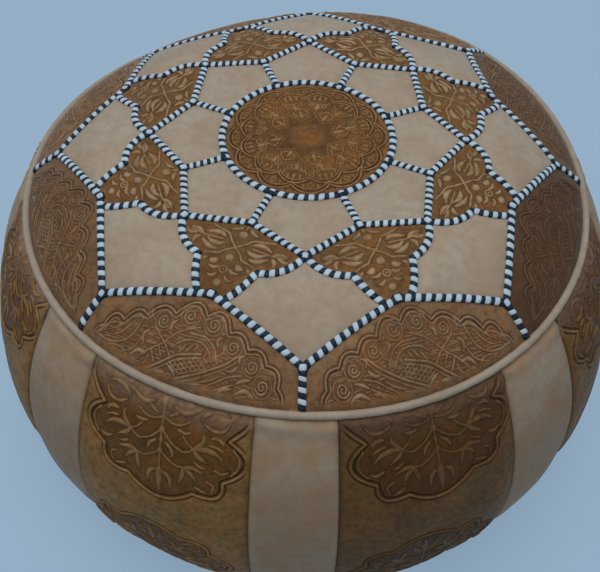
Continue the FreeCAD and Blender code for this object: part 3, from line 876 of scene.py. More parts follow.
class Panel:
    """One leather panel drawn about the front, from which its turned copies are made.

    It swells by rise between its seams. The ornament is strokes, which stand proud, and outlines of grounds,
    which are pressed in. Shade is a function of the flat points that adds to the darkness of the cut lines.
    Another function of the flat points gives the painted highlight: a pale patch where light catches a brown
    side.
    The net's points are spacing apart where there are strokes, and wide_spacing apart elsewhere.
    """

    def __init__(self, outline, surface, rise, spacing, wide_spacing, ornament=([], []), press=0.0, proud=0.0,
                 shade=None, painted_highlight=None, gap=SEAM_GAP):
        self.surface = surface
        outline = inset(np.asarray(outline, float), gap / 2)
        strokes, grounds = ornament
        detail = (lambda spots: near_strokes(spots, strokes)) if strokes else None
        self.flat, self.faces, self.rim = net(outline, spacing, wide_spacing, detail)
        self.distance = segments_near(self.flat, closed(outline))
        ground = np.zeros(len(self.flat))
        for shape in grounds:
            ground = np.maximum(ground, smooth_step(depth_inside(self.flat, shape), *GROUND_EDGE))
        raised, cut = relief(self.flat, strokes)
        if shade:
            cut = np.maximum(cut, shade(self.flat) * beside_raised(raised))
        self.painted_highlight = painted_highlight(self.flat) if painted_highlight else np.zeros(len(self.flat))
        quiet = smooth_step(self.distance, *ORNAMENT_EDGE)
        self.ground, self.raised, self.cut = ground * quiet, raised * quiet, cut * quiet
        self.height = puffed(self.distance, rise) - press * self.ground + proud * (self.raised - self.cut)
        self.under, self.under_faces, _ = net(outline, spacing, UNDER_SPACING)

    def lay(self, name, turn, seed, wobble, wavelength, painted_shade=0.0, extra=None, warp=None):
        """The closed mesh of one copy, uneven in its own way. Extra adds heights, and warp moves points."""
        waves = ripples(self.flat, seed, wavelength)
        height = self.height + wobble * waves * smooth_step(self.distance, 0, WOBBLE_EDGE)
        if extra is not None:
            height = height + extra(self.flat, seed)
        on, normal = self.surface(self.flat)
        top = on + normal * height[:, None]
        on, normal = self.surface(self.under)
        low = on - normal * (LEATHER + SEAM_SINK)
        count = len(top)
        faces = [self.faces, self.under_faces[:, ::-1] + count, wall_faces(self.rim, count)]
        points = turned(np.concatenate([top, low]), turn)
        if warp is not None:
            points = warp(points)
        upper = {"ground": self.ground, "raised": self.raised, "cut": self.cut, "painted_highlight": self.painted_highlight}
        upper["tone"] = sum(ripples(self.flat, seed + shift, length) * share
                            for shift, length, share in TONE_WAVES)
        attributes = {key: np.r_[values, np.zeros(len(low))] for key, values in upper.items()}
        # Painted shade: darker leather beside the seams, where it dips into them
        attributes["seam"] = np.r_[np.exp(-self.distance / SEAM_SHADE), np.ones(len(low))]
        # Painted shade: a share of dark colour over the whole copy, for panels that lie away from the light
        attributes["painted_shade"] = np.full(len(points), painted_shade)
        return outwards(new_mesh(name, points, np.concatenate(faces), attributes))


# Materials. Colours are written as red, green and blue.

# The bloom's colour, what a brown is multiplied by in its patches and blotches, and the pale pink of the
# painted highlight on the brown sides
HAZE = (0.60, 0.80, 1.0)
HAZE_ROUGHNESS = 0.4
RUSTY = (1.18, 0.94, 0.60)
OCHRE = (0.86, 0.96, 0.92)
DEEPER = (0.78, 0.71, 0.62)
PAINTED_HIGHLIGHT_COLOUR = (0.37, 0.25, 0.185)
BROWN_GLOSS = 0.1
# Cells to the metre, strength and pores to the metre
BROWN_GRAIN = (900.0, 0.22, 2400.0)
CREAM_GRAIN = (760.0, 0.16, 2200.0)
CREASE_WIDTH = 0.22
PORE_SHARE = 0.6
PORE_DETAIL = 3.0
GRAIN_DEPTH = 0.0006
# Most of a noise lies between these values
NOISE_RANGE = (0.3, 0.7)
# Scale, detail and roughness of noises
BLOTCHES = (26.0, 5.0)
PATCHES = (60.0, 3.0)
SPECKS = (210.0, 4.0, 0.7)
CREAM_MOTTLE = (34.0, 5.0)
CREAM_SPECKS = (150.0, 4.0)
LACE_STAINS = (130.0, 3.0)
LACE_FIBRES = (1500.0, 3.0)
TARNISH = (180.0, 4.0)
SCRATCHES = (1600.0, 2.0)
# Strength and depth in metres of bumps
LACE_BUMP = (0.18, 0.0003)
WEAVE_BUMP = (0.4, 0.0002)
BRIGHT_BRASS = (0.66, 0.42, 0.16)
DULL_BRASS = (0.42, 0.25, 0.09)
# Bands to the metre that a wave texture has for each unit of its scale
BANDS_PER_SCALE = 3.18


class Nodes:
    """Short calls that add nodes to a tree."""

    def __init__(self, tree):
        self.nodes = tree.nodes
        self.links = tree.links

    def feed(self, socket, value):
        """Gives a socket another node's output, a colour or a number."""
        if isinstance(value, bpy.types.NodeSocket):
            self.links.new(value, socket)
        else:
            socket.default_value = (*value, 1) if isinstance(value, tuple) else value

    def add(self, kind, inputs=None, **settings):
        """A new node with its settings, and its inputs by name or number."""
        made = self.nodes.new("ShaderNode" + kind)
        for key, value in settings.items():
            setattr(made, key, value)
        for key, value in (inputs or {}).items():
            self.feed(made.inputs[key], value)
        return made

    def calculated(self, operation, *values):
        return self.add("Math", dict(enumerate(values)), operation=operation).outputs[0]

    def scaled(self, value, low, high, at_low=0.0, at_high=1.0):
        """A value from low to high, turned into one from at_low to at_high."""
        ends = {"From Min": low, "From Max": high, "To Min": at_low, "To Max": at_high}
        return self.add("MapRange", {"Value": value, **ends}).outputs["Result"]

    def mixed(self, share, first, second):
        """A colour between two."""
        return self.add("Mix", {0: share, 6: first, 7: second}, data_type="RGBA").outputs[2]

    def stained(self, base, tint, by, low, high, at_low, at_high):
        """A colour with a share of a tint, from at_low to at_high while a value goes from low to high."""
        return self.mixed(self.scaled(by, low, high, at_low, at_high), base, tint)

    def shown(self, share, first, second):
        """A shader between two."""
        return self.add("MixShader", {0: share, 1: first, 2: second}).outputs[0]


class Paint(Nodes):
    """A new material with a Principled shader, whose plain sockets are set by name."""

    def __init__(self, name, **settings):
        self.material = bpy.data.materials.new(name)
        self.material.use_nodes = True
        super().__init__(self.material.node_tree)
        self.surface = self.nodes["Principled BSDF"]
        for key, value in settings.items():
            self.feed(self.surface.inputs[key.replace("_", " ")], value)
        self.place = self.add("TexCoord").outputs["Object"]

    def read(self, key):
        """The values that a mesh holds at its points."""
        return self.add("Attribute", attribute_name=key).outputs["Fac"]

    def noise(self, scale, detail=4.0, rough=0.55):
        values = {"Vector": self.place, "Scale": scale, "Detail": detail, "Roughness": rough}
        return self.add("TexNoise", values).outputs["Fac"]

    def bump(self, height, strength, distance):
        values = {"Height": height, "Strength": strength, "Distance": distance}
        self.feed(self.surface.inputs["Normal"], self.add("Bump", values).outputs["Normal"])

    def grain(self, scale, strength, fine):
        """Leather grain: small cells with creases between them, and finer pores."""
        cells = self.add("TexVoronoi", {"Vector": self.place, "Scale": scale}, feature="DISTANCE_TO_EDGE")
        crease = self.scaled(cells.outputs["Distance"], 0.0, CREASE_WIDTH)
        pores = self.noise(fine, PORE_DETAIL)
        self.bump(self.calculated("MULTIPLY_ADD", pores, PORE_SHARE, crease), strength, GRAIN_DEPTH)
        return crease

    def finish(self, base, by, smooth, rough):
        """The material, with its colour, and a roughness that follows a noise."""
        self.feed(self.surface.inputs["Base Color"], base)
        self.feed(self.surface.inputs["Roughness"], self.scaled(by, *NOISE_RANGE, smooth, rough))
        return self.material


def leather_paint(name, gloss, bloom):
    """Leather with a pale bloom at grazing angles."""
    return Paint(name, Specular_IOR_Level=gloss, Sheen_Weight=bloom,
                 Sheen_Tint=HAZE, Sheen_Roughness=HAZE_ROUGHNESS)


def mottled(paint, tint, patch, blotch, low, high):
    """A brown with rusty and ochre patches and deeper blotches."""
    rusty, ochre, deeper = (tuple(np.multiply(tint, by).tolist()) for by in (RUSTY, OCHRE, DEEPER))
    return paint.stained(paint.mixed(patch, rusty, ochre), deeper, blotch, low, high, 0.0, 1.0)


def brown_leather(name, margin, pressed, worn, dark, bloom=0.0):
    """Antiqued brown leather: pressed grounds and cut lines are dyed dark, raised lines are worn pale."""
    paint = leather_paint(name, BROWN_GLOSS, bloom)
    blotch = paint.noise(*BLOTCHES)
    patch = paint.scaled(paint.noise(*PATCHES), 0.38, 0.62)
    speck = paint.noise(*SPECKS)
    base = mottled(paint, margin, patch, blotch, 0.35, 0.68)
    low = mottled(paint, pressed, patch, blotch, 0.4, 0.62)
    base = paint.stained(base, low, paint.read("ground"), 0.0, 1.0, 0.0, 0.9)
    # Painted highlight: a pale patch where light catches the top of the brown side panels, under the piping
    base = paint.mixed(paint.read("painted_highlight"), base, PAINTED_HIGHLIGHT_COLOUR)
    base = paint.stained(base, dark, paint.read("cut"), 0.05, 0.8, 0.0, 0.85)
    raised = paint.scaled(paint.read("raised"), 0.15, 0.75, 0.0, 0.95)
    rub = paint.calculated("MULTIPLY", raised, paint.scaled(blotch, 0.3, 0.6, 0.5, 1.0))
    base = paint.mixed(rub, base, worn)
    base = paint.stained(base, dark, speck, 0.42, 0.68, 0.0, 0.5)
    base = paint.stained(base, dark, paint.read("tone"), -1.0, 1.0, 0.0, 0.30)
    # Painted shade beside the seams
    base = paint.stained(base, dark, paint.read("seam"), 0.2, 1.0, 0.0, 0.35)
    # Painted shade: whole panels darkened, most on the right, which lies away from the light
    base = paint.mixed(paint.read("painted_shade"), base, dark)
    base = paint.stained(base, dark, paint.grain(*BROWN_GRAIN), 0.0, 1.0, 0.16, 0.0)
    return paint.finish(base, speck, 0.42, 0.58)


def cream_leather(name, light, warm, soil, gloss, bloom=0.0):
    """Natural undyed leather: faint mottle, soiled specks, darker where its shade says, painted shade by
    seams.
    """
    paint = leather_paint(name, gloss, bloom)
    speck = paint.noise(*CREAM_SPECKS)
    base = paint.stained(light, warm, paint.noise(*CREAM_MOTTLE), 0.36, 0.64, 0.0, 1.0)
    base = paint.stained(base, soil, speck, 0.42, 0.70, 0.0, 0.36)
    base = paint.stained(base, warm, paint.read("tone"), -1.0, 1.2, 0.0, 0.30)
    base = paint.mixed(paint.read("cut"), base, soil)
    # Painted shade beside the seams
    base = paint.stained(base, soil, paint.read("seam"), 0.15, 1.0, 0.0, 0.3)
    base = paint.stained(base, soil, paint.grain(*CREAM_GRAIN), 0.0, 1.0, 0.10, 0.0)
    return paint.finish(base, speck, 0.50, 0.64)


def lace_strip(name, plain, stained):
    """Smooth flat lacing strip with slight staining and fine unevenness."""
    paint = Paint(name, Specular_IOR_Level=0.2)
    fine = paint.noise(*LACE_FIBRES)
    paint.bump(fine, *LACE_BUMP)
    base = paint.stained(plain, stained, paint.noise(*LACE_STAINS), 0.35, 0.75, 0.0, 0.8)
    return paint.finish(base, fine, 0.44, 0.58)


def brass(name):
    """Tarnished brass with fine scratches."""
    paint = Paint(name, Metallic=1.0)
    base = paint.stained(BRIGHT_BRASS, DULL_BRASS, paint.noise(*TARNISH), 0.4, 0.7, 0.0, 1.0)
    return paint.finish(base, paint.noise(*SCRATCHES), 0.26, 0.44)


def woven(name, light, dark, pitch):
    """A cotton weave of crossing threads."""
    paint = Paint(name, Roughness=0.88, Specular_IOR_Level=0.2)
    scale = 1 / (pitch * MM) / BANDS_PER_SCALE
    values = {"Vector": paint.place, "Scale": scale, "Distortion": 0.6, "Detail": 1.0}
    threads = [paint.add("TexWave", values, bands_direction=way).outputs["Fac"] for way in ("X", "Y")]
    weave = paint.calculated("MULTIPLY", *threads)
    paint.feed(paint.surface.inputs["Base Color"], paint.mixed(weave, dark, light))
    paint.bump(weave, *WEAVE_BUMP)
    return paint.material


brown = brown_leather("leather_brown", margin=(0.262, 0.147, 0.062), pressed=(0.203, 0.096, 0.026),
                      worn=(0.380, 0.225, 0.090), dark=(0.036, 0.014, 0.004), bloom=0.22)
kite_brown = brown_leather("leather_brown_kite", margin=(0.262, 0.150, 0.066), pressed=(0.206, 0.106, 0.036),
                           worn=(0.430, 0.300, 0.165), dark=(0.036, 0.015, 0.005), bloom=0.22)
border_brown = brown_leather("leather_brown_border", margin=(0.272, 0.168, 0.098),
                             pressed=(0.230, 0.122, 0.060), worn=(0.372, 0.256, 0.156),
                             dark=(0.045, 0.019, 0.007), bloom=0.15)
side_brown = brown_leather("leather_brown_side", margin=(0.312, 0.184, 0.066), pressed=(0.165, 0.077, 0.023),
                           worn=(0.340, 0.206, 0.086), dark=(0.034, 0.014, 0.004))
cream = cream_leather("leather_cream", light=(0.344, 0.302, 0.234), warm=(0.322, 0.244, 0.176),
                      soil=(0.200, 0.146, 0.098), gloss=0.2, bloom=0.25)
side_cream = cream_leather("leather_cream_side", light=(0.314, 0.272, 0.208), warm=(0.312, 0.206, 0.122),
                           soil=(0.205, 0.132, 0.074), gloss=0.16)
pale = cream_leather("leather_piping", light=(0.330, 0.285, 0.228), warm=(0.300, 0.248, 0.188),
                     soil=(0.190, 0.150, 0.110), gloss=0.2)
base_leather = cream_leather("leather_base", light=(0.185, 0.118, 0.066), warm=(0.150, 0.088, 0.045),
                             soil=(0.070, 0.040, 0.022), gloss=0.2)
# The white thread is written bluish: a painted blue cast of the cool light that falls on it
white_lace = lace_strip("lacing_white", plain=(0.42, 0.54, 0.64), stained=(0.34, 0.425, 0.49))
black_lace = lace_strip("lacing_black", plain=(0.003, 0.013, 0.028), stained=(0.008, 0.020, 0.038))
brass_metal = brass("zip_brass")
tape_cloth = woven("zip_tape", light=(0.075, 0.050, 0.032), dark=(0.030, 0.020, 0.013), pitch=0.7)
wadding = woven("filling", light=(0.62, 0.59, 0.52), dark=(0.48, 0.45, 0.39), pitch=2.4)


# Seams of the crown

WAVE_STEPS = 14
PETAL_ARC_STEPS = 24
BORDER_ARC_STEPS = 40


def wave_seam():
    """The scalloped seam on a star panel's right side, from its inner tip to the outer star."""
    notch, tip = plan(OUTER_NOTCH, HALF_FOLD), plan(OUTER_TIP, 0)
    end = notch + (tip - notch) / np.linalg.norm(tip - notch) * WAVE_END
    stops = [plan(INNER_TIP, 0), np.array([WAVE_CUSP[0], -WAVE_CUSP[1]]), end]
    parts = []
    for start, stop, bulge in zip(stops, stops[1:], WAVE_BULGES):
        chord = stop - start
        right = np.array([chord[1], -chord[0]]) / np.linalg.norm(chord)
        parts.append(bow(start, (start + stop) / 2 + right * bulge, stop, WAVE_STEPS))
    return np.concatenate([parts[0][:-1], parts[1]])


def ring_run(radius, start, end, steps):
    """Plan points along an arc about the centre."""
    return np.array([plan(radius, start + (end - start) * step / steps) for step in range(steps + 1)])


wave_right = wave_seam()
wave_left = mirror(wave_right)
kite_right = turned(wave_left, HALF_FOLD)
petal_outline = np.concatenate([
    ring_run(RING, -HALF_FOLD, HALF_FOLD, PETAL_ARC_STEPS),
    [plan(INNER_NOTCH, HALF_FOLD), plan(INNER_TIP, 0), plan(INNER_NOTCH, -HALF_FOLD)]])
kite_outline = np.concatenate([
    [plan(INNER_NOTCH, 0)], kite_right, [plan(OUTER_NOTCH, 0)], mirror(kite_right)[::-1]])
star_panel_outline = np.concatenate([wave_right, [plan(OUTER_TIP, 0)], wave_left[:0:-1]])
border_outline = np.concatenate([
    [plan(OUTER_NOTCH, 0), plan(OUTER_TIP, HALF_FOLD)],
    ring_run(CROWN_EDGE, HALF_FOLD, -HALF_FOLD, BORDER_ARC_STEPS), [plan(OUTER_TIP, -HALF_FOLD)]])


# Crown panels. Ornament drawn with y outwards is put into the plan, where outwards is -Y.

# Painted shade: the share of dark colour mixed into whole panels, most on the right, which lies away from the
# light
PAINTED_SHADE_BY_PANEL = {"border_panel_1": 0.04, "border_panel_2": 0.70, "border_panel_3": 0.42, "border_panel_7": 0.24,
            "kite_panel_8": 0.10, "side_panel_brown_1": 0.49, "side_panel_brown_2": 0.28,
            "side_panel_brown_3": 0.12}
MEDALLION_STEPS = 200
GROUND_RADIUS = 60.0
GROUND_STEPS = 120


def medallion_panel():
    outline = ring_run(RING, 0, 360, MEDALLION_STEPS)[:-1]
    ground = ring_run(GROUND_RADIUS, 0, 360, GROUND_STEPS)[:-1]
    return Panel(outline, crown_surface, rise=1.3, spacing=0.58, wide_spacing=1.2,
                 ornament=(medallion_strokes(), [ground]), press=0.45, proud=0.7, shade=star_shade)


def kite_panel():
    strokes = redrawn(kite_strokes(), lambda line: line * (1, -1))
    return Panel(kite_outline, crown_surface, rise=1.1, spacing=0.6, wide_spacing=1.4,
                 ornament=(strokes, [kite_outline]), press=0.25, proud=0.8)


def border_panel(hand):
    """A border panel whose ornament is as drawn for a hand of 1, and mirrored for -1."""
    strokes = redrawn(border_strokes(), lambda line: line * (hand, -1))
    return Panel(border_outline, crown_surface, rise=1.2, spacing=0.6, wide_spacing=1.8,
                 ornament=(strokes, [border_edge() * (1, -1)]), press=0.45, proud=0.7)


SEED_STEP = 10


def crown_panels(name, material, panels, middle, seed, wobble, wavelength):
    """Eight copies round the crown, of one panel or of several in turns."""
    for fold in range(FOLDS):
        node = f"{name}_{fold + 1}"
        panel = panels[fold % len(panels)]
        piece = panel.lay("leather_" + node, middle + fold * FOLD, SEED_STEP * fold + seed,
                          wobble, wavelength, painted_shade=PAINTED_SHADE_BY_PANEL.get(node, 0.0))
        dress(piece, node, material)


petal_panel = Panel(petal_outline, crown_surface, rise=1.5, spacing=1.6, wide_spacing=1.9)
star_panel = Panel(star_panel_outline, crown_surface, rise=1.7, spacing=1.7, wide_spacing=2.1)
dress(medallion_panel().lay("leather_top_medallion", turn=0, seed=5, wobble=0.35, wavelength=45.0),
      "top_medallion", brown)
crown_panels("petal_panel", cream, [petal_panel],
             middle=0, seed=11, wobble=0.45, wavelength=40.0)
crown_panels("kite_panel", kite_brown, [kite_panel()],
             middle=HALF_FOLD, seed=10, wobble=0.35, wavelength=40.0)
crown_panels("star_panel", cream, [star_panel],
             middle=0, seed=10, wobble=0.55, wavelength=48.0)
crown_panels("border_panel", border_brown, [border_panel(hand) for hand in (1, -1)],
             middle=HALF_FOLD, seed=12, wobble=0.4, wavelength=45.0)


# Side panels

SIDE_TOP = 2.0
SIDE_FOOT_GAP = 0.5
SIDE_GAP = 0.2
BROWN_SEED = 300
CREAM_SEED = 400
# Plan angles of seams near the front, and how far each stands off its even place
SEAM_ANGLES = [-180, -97.5, -52.5, -37.5, -7.5, 7.5, 37.5, 52.5, 97.5, 180]
SEAM_SHIFTS = [0, 0, -1.6, -1.6, -0.35, -1.4, -0.3, 0.9, 0, 0]
# How far down the upper rosette sits on panels with even and odd numbers
STAMP_SHIFTS = (1.0, -7.5)

# A slack fold under the piping, and folds that run down from it
SLACK_HEIGHT = 1.5
SLACK_BELOW = 6.5
SLACK_SLOPE = 0.04
SLACK_WIDTH = 5.0
SLACK_UNEVEN = 0.45
SLACK_WAVE = 50.0
PUCKERS = 12
PUCKER_WIDTHS = (2.5, 6)
PUCKER_LENGTHS = (10, 34)
PUCKER_HEIGHTS = (-1, 1)
PUCKER_LEANS = (-0.4, 0.4)

# Colour down the side: the most darkening on a cream belly and where it comes and goes,
# and the painted highlight under the piping on brown sides and where it goes
BELLY_BAND_SHARE = 0.42
BELLY_BAND_COMES = (35, 80)
BELLY_BAND_GOES = (120, 190)
HIGHLIGHT_SHARE = 0.5
HIGHLIGHT_GOES = (5, 28)


def side_outline(angle):
    half = math.radians(angle / 2) * BELLY_RADIUS
    end = side_run - SIDE_FOOT_GAP
    return np.array([(-half, SIDE_TOP), (half, SIDE_TOP), (half, end), (-half, end)])


def true_width(line):
    """A line drawn in true millimetres, widened where the side is narrower than at the belly."""
    radius = side_section(np.clip(line[:, 1], 0, side_run))[0]
    return np.stack([line[:, 0] * BELLY_RADIUS / radius, line[:, 1]], 1)


def hand_cut(points):
    """Points moved as the seams near the front stand off their even places, and kept above the floor."""
    shift = np.radians(np.interp(plan_angle(points), SEAM_ANGLES, SEAM_SHIFTS))
    x = points[:, 0] * np.cos(shift) - points[:, 1] * np.sin(shift)
    y = points[:, 0] * np.sin(shift) + points[:, 1] * np.cos(shift)
    return np.stack([x, y, np.maximum(points[:, 2], 0)], 1)


def puckers(flat, seed):
    """Heights of the slack fold and of the folds that run down from the piping's seam."""
    draw = np.random.default_rng(seed + 7)
    x, below = flat[:, 0], flat[:, 1] - SIDE_TOP
    half = np.abs(x).max()
    total = SLACK_HEIGHT * np.exp(-((below - SLACK_BELOW - SLACK_SLOPE * x) / SLACK_WIDTH)**2)
    total *= 1 + SLACK_UNEVEN * ripples(flat, seed + 9, SLACK_WAVE)
    ranges = [(-half, half), PUCKER_WIDTHS, PUCKER_LENGTHS, PUCKER_HEIGHTS, PUCKER_LEANS]
    for at, wide, long, high, lean in zip(*[draw.uniform(*ends, PUCKERS) for ends in ranges]):
        total += high * np.exp(-((x - at - lean * below) / wide)**2) * np.exp(-below / long)
    return total


def belly_band(flat):
    """The belly of a cream side panel is warmer and darker than its top and foot."""
    return BELLY_BAND_SHARE * smooth_step(flat[:, 1], *BELLY_BAND_COMES) * (1 - smooth_step(flat[:, 1], *BELLY_BAND_GOES))


def highlight_under_piping(flat):
    """Painted highlight: brown side leather is painted paler just under the piping, where light catches it.
    """
    return HIGHLIGHT_SHARE * (1 - smooth_step(flat[:, 1], *HIGHLIGHT_GOES))


def brown_side_panel(shift):
    """A brown panel with its upper rosette moved down by a shift."""
    strokes, grounds = side_ornament(shift)
    ornament = redrawn(strokes, true_width), [true_width(shape) for shape in grounds]
    return Panel(side_outline(BROWN_ANGLE), side_surface, rise=1.6, spacing=0.8, wide_spacing=3.2,
                 ornament=ornament, press=0.5, proud=0.8, painted_highlight=highlight_under_piping, gap=SIDE_GAP)


def side_panels():
    brown_sides = [brown_side_panel(shift) for shift in STAMP_SHIFTS]
    cream_side = Panel(side_outline(CREAM_ANGLE), side_surface, rise=1.4, spacing=2.0, wide_spacing=2.6,
                       shade=belly_band, gap=SIDE_GAP)
    uneven = {"extra": puckers, "warp": hand_cut}
    for fold in range(FOLDS):
        number = fold + 1
        node = f"side_panel_brown_{number}"
        brown_side = brown_sides[number % 2]
        piece = brown_side.lay(f"leather_side_brown_{number}", HALF_FOLD + fold * FOLD, BROWN_SEED + fold,
                               wobble=0.7, wavelength=75.0, painted_shade=PAINTED_SHADE_BY_PANEL.get(node, 0.0), **uneven)
        dress(piece, node, side_brown)
        piece = cream_side.lay(f"leather_side_cream_{number}", fold * FOLD, CREAM_SEED + fold,
                               wobble=0.6, wavelength=60.0, **uneven)
        dress(piece, f"side_panel_cream_{number}", side_cream)


side_panels()


# Piping

PIPING_RADIUS = 2.8
PIPING_STEPS = 900
PIPING_SIDES = 18
PIPING_SEED = 61
PHASES = 6.28
# Waves round the piping: how many of each, and their size
SWAY = ((3, 5, 8, 13, 21), 0.45)
LIFT = ((2, 4, 7, 11, 17), 0.5)
FLUTTER = ((37, 53, 71, 97), 0.05)
TWISTS = 140
TWIST_SIZE = 0.05
TONE_PATCHES = 9
TONE_SIZE = 0.5


def around_waves(turn, draw, counts, fall):
    """Waves round a ring with random phases, smaller by their count to the power of fall."""
    return sum(np.sin(turn * count + draw.uniform(0, PHASES)) / count**fall for count in counts)


def tube(name, path, radius, attributes):
    """A tube along a closed path of points, with its radius given for each of its sides at each point."""
    sides = radius.shape[1]
    run = unit(np.roll(path, -1, 0) - np.roll(path, 1, 0))
    out = unit(np.cross(run, (0, 0, 1.0)))
    up = np.cross(out, run)
    turn = round_angles(sides)
    around = out[:, None] * np.cos(turn)[None, :, None] + up[:, None] * np.sin(turn)[None, :, None]
    points = path[:, None] + around * radius[:, :, None]
    index = np.arange(len(path) * sides).reshape(len(path), sides)
    after = np.roll(index, -1, 0)
    faces = np.stack([index, after, np.roll(after, -1, 1), np.roll(index, -1, 1)], 2)
    return new_mesh(name, points.reshape(-1, 3), faces.reshape(-1, 4), attributes)


def piping():
    """The piping's cord, which sways and twists a little on its way round."""
    turn = round_angles(PIPING_STEPS)
    draw = np.random.default_rng(PIPING_SEED)
    radius = EDGE_RADIUS + around_waves(turn, draw, SWAY[0], 1) * SWAY[1]
    level = EDGE_HEIGHT + around_waves(turn, draw, LIFT[0], 1) * LIFT[1]
    flutter = around_waves(turn, draw, FLUTTER[0], 0) * FLUTTER[1]
    twist = np.sin(turn[:, None] * TWISTS + round_angles(PIPING_SIDES) * 2) * TWIST_SIZE
    thick = PIPING_RADIUS + flutter[:, None] + twist
    tone = np.repeat(np.sin(turn * TONE_PATCHES) * TONE_SIZE, PIPING_SIDES)
    return tube("leather_piping_cord", swept(radius, turn, level), thick, {"tone": tone})


dress(piping(), "piping", pale)


# Lacing: white strips over each seam with black ones between them

RING_PITCH = 7.3
INNER_PITCH = 5.6
OUTER_PITCH = 7.35
WAVE_PITCH = 6.6
SPOKE_ROOM = 1.0
KNOT_ROOM = 3.4
WAVE_END_ROOM = 3.0
SPOKE_GAPS = (2.0, 1.0)
LOOP_GAP = 1.5
RING_STEPS = 240
LACE_SLANT = 0.22
LACE_BASE = 0.1
SLANT_SPREAD = 0.05
STITCH_SIZES = (0.93, 1.06)
# Half length, half width and height. Strips have their length as a share of the pitch.
WHITE_STITCH = (0.30, 2.9, 1.75)
BLACK_STITCH = (0.25, 2.8, 1.5)
WHITE_KNOT = (2.5, 2.7, 2.3)
BLACK_KNOT = (3.5, 3.6, 1.6)
BLACK_LOOP = (1.5, 3.3, 2.2)
# How square a stitch is along and across, how full its ends are, and the depth of its underside
STITCH_SQUARE = 0.7
STITCH_FULL = 0.3
STITCH_UNDER = 0.45
STITCH_END_LEVEL = 0.2
LOOK_AHEAD = 1.5
STEP_AHEAD = 0.5


def powered(values, power):
    """Values drawn towards -1 and 1 by a power under 1, with their signs kept."""
    return np.sign(values) * np.abs(values)**power


def stitch(length, width, height, rings=7, sides=14):
    """A cushion-shaped stitch: x along the seam, y across it and z up, with a flat underside."""
    v = np.linspace(-math.pi / 2, math.pi / 2, rings + 2)[1:-1]
    u = round_angles(sides)
    along = length * powered(np.sin(v), STITCH_SQUARE)
    swell = (np.cos(v)**STITCH_FULL)[:, None]
    y = width * swell * powered(np.cos(u), STITCH_SQUARE)
    z = height * swell * np.where(np.sin(u) > 0, np.sin(u), STITCH_UNDER * np.sin(u))
    points = np.stack([np.broadcast_to(along[:, None], y.shape), y, z], 2).reshape(-1, 3)
    points = np.vstack([points, [(-length, 0, STITCH_END_LEVEL), (length, 0, STITCH_END_LEVEL)]])
    index = np.arange(rings * sides).reshape(rings, sides)
    faces = []
    for row, after in zip(index, index[1:]):
        faces += [(row[i], after[i], after[i - 1], row[i - 1]) for i in range(sides)]
    faces += [(rings * sides, index[0, i], index[0, i - 1]) for i in range(sides)]
    faces += [(rings * sides + 1, index[-1, i - 1], index[-1, i]) for i in range(sides)]
    return points, faces


def run_places(line, room_start, room_end, pitch):
    """Places along a seam, as plan points, directions and pitch: the whites, and the blacks between them."""
    line = np.asarray(line, float)
    lengths = np.r_[0, np.cumsum(np.linalg.norm(np.diff(line, axis=0), axis=1))]
    room = lengths[-1] - room_end - room_start
    count = max(1, round(room / pitch))
    pitch = room / count

    def point_at(distance):
        return np.stack([np.interp(distance, lengths, line[:, k]) for k in (0, 1)], 1)

    def places(steps):
        distance = room_start + pitch * steps
        way = unit(point_at(distance + LOOK_AHEAD) - point_at(distance - LOOK_AHEAD))
        return np.hstack([point_at(distance), way, np.full((len(way), 1), pitch)])

    return places(np.arange(count) + 0.5), places(np.arange(count + 1))


def stitches(name, places, shape, seed, slant):
    """One mesh of many stitches laid on the crown at the given places, each a little different."""
    draw = np.random.default_rng(seed)
    points, faces = stitch(*shape)
    on, normal = crown_surface(places[:, :2])
    along = unit(crown_surface(places[:, :2] + places[:, 2:4] * STEP_AHEAD)[0] - on)
    across = np.cross(normal, along)
    size = draw.uniform(*STITCH_SIZES, (len(places), 3))
    size[:, 0] *= places[:, 4]
    tilt = slant + draw.normal(0, SLANT_SPREAD, len(places))
    local = points[None] * size[:, None]
    x = local[:, :, 0] + tilt[:, None] * local[:, :, 1]
    made = ((on + normal * LACE_BASE)[:, None] + along[:, None] * x[:, :, None]
            + across[:, None] * local[:, :, 1, None] + normal[:, None] * local[:, :, 2, None])
    return gathered(name, [(each, faces) for each in made])


def facing_out(spots):
    """Places for single knots, each turned along its radius."""
    return np.hstack([spots, unit(spots), np.ones((len(spots), 1))])


def laced(node, runs, knots, seed):
    """The white and black stitches of one lacing node, and its knots or loops."""
    white, black = (np.vstack(places) for places in zip(*[run_places(*run) for run in runs]))
    rows = [("white", white, WHITE_STITCH, white_lace, LACE_SLANT),
            ("black", black, BLACK_STITCH, black_lace, LACE_SLANT)]
    rows += [(label, facing_out(spots), shape, material, 0) for label, spots, shape, material in knots]
    for number, (label, places, shape, material, slant) in enumerate(rows, 1):
        piece = stitches(f"{node}_{label}", places, shape, seed + number, slant)
        dress(piece, node, material)


def all_round(line):
    return [turned(np.asarray(line, float), fold * FOLD) for fold in range(FOLDS)]


def with_room(lines, start, end, pitch):
    """Runs of stitches along lines, with room left at each line's start and end."""
    return [(line, start, end, pitch) for line in lines]


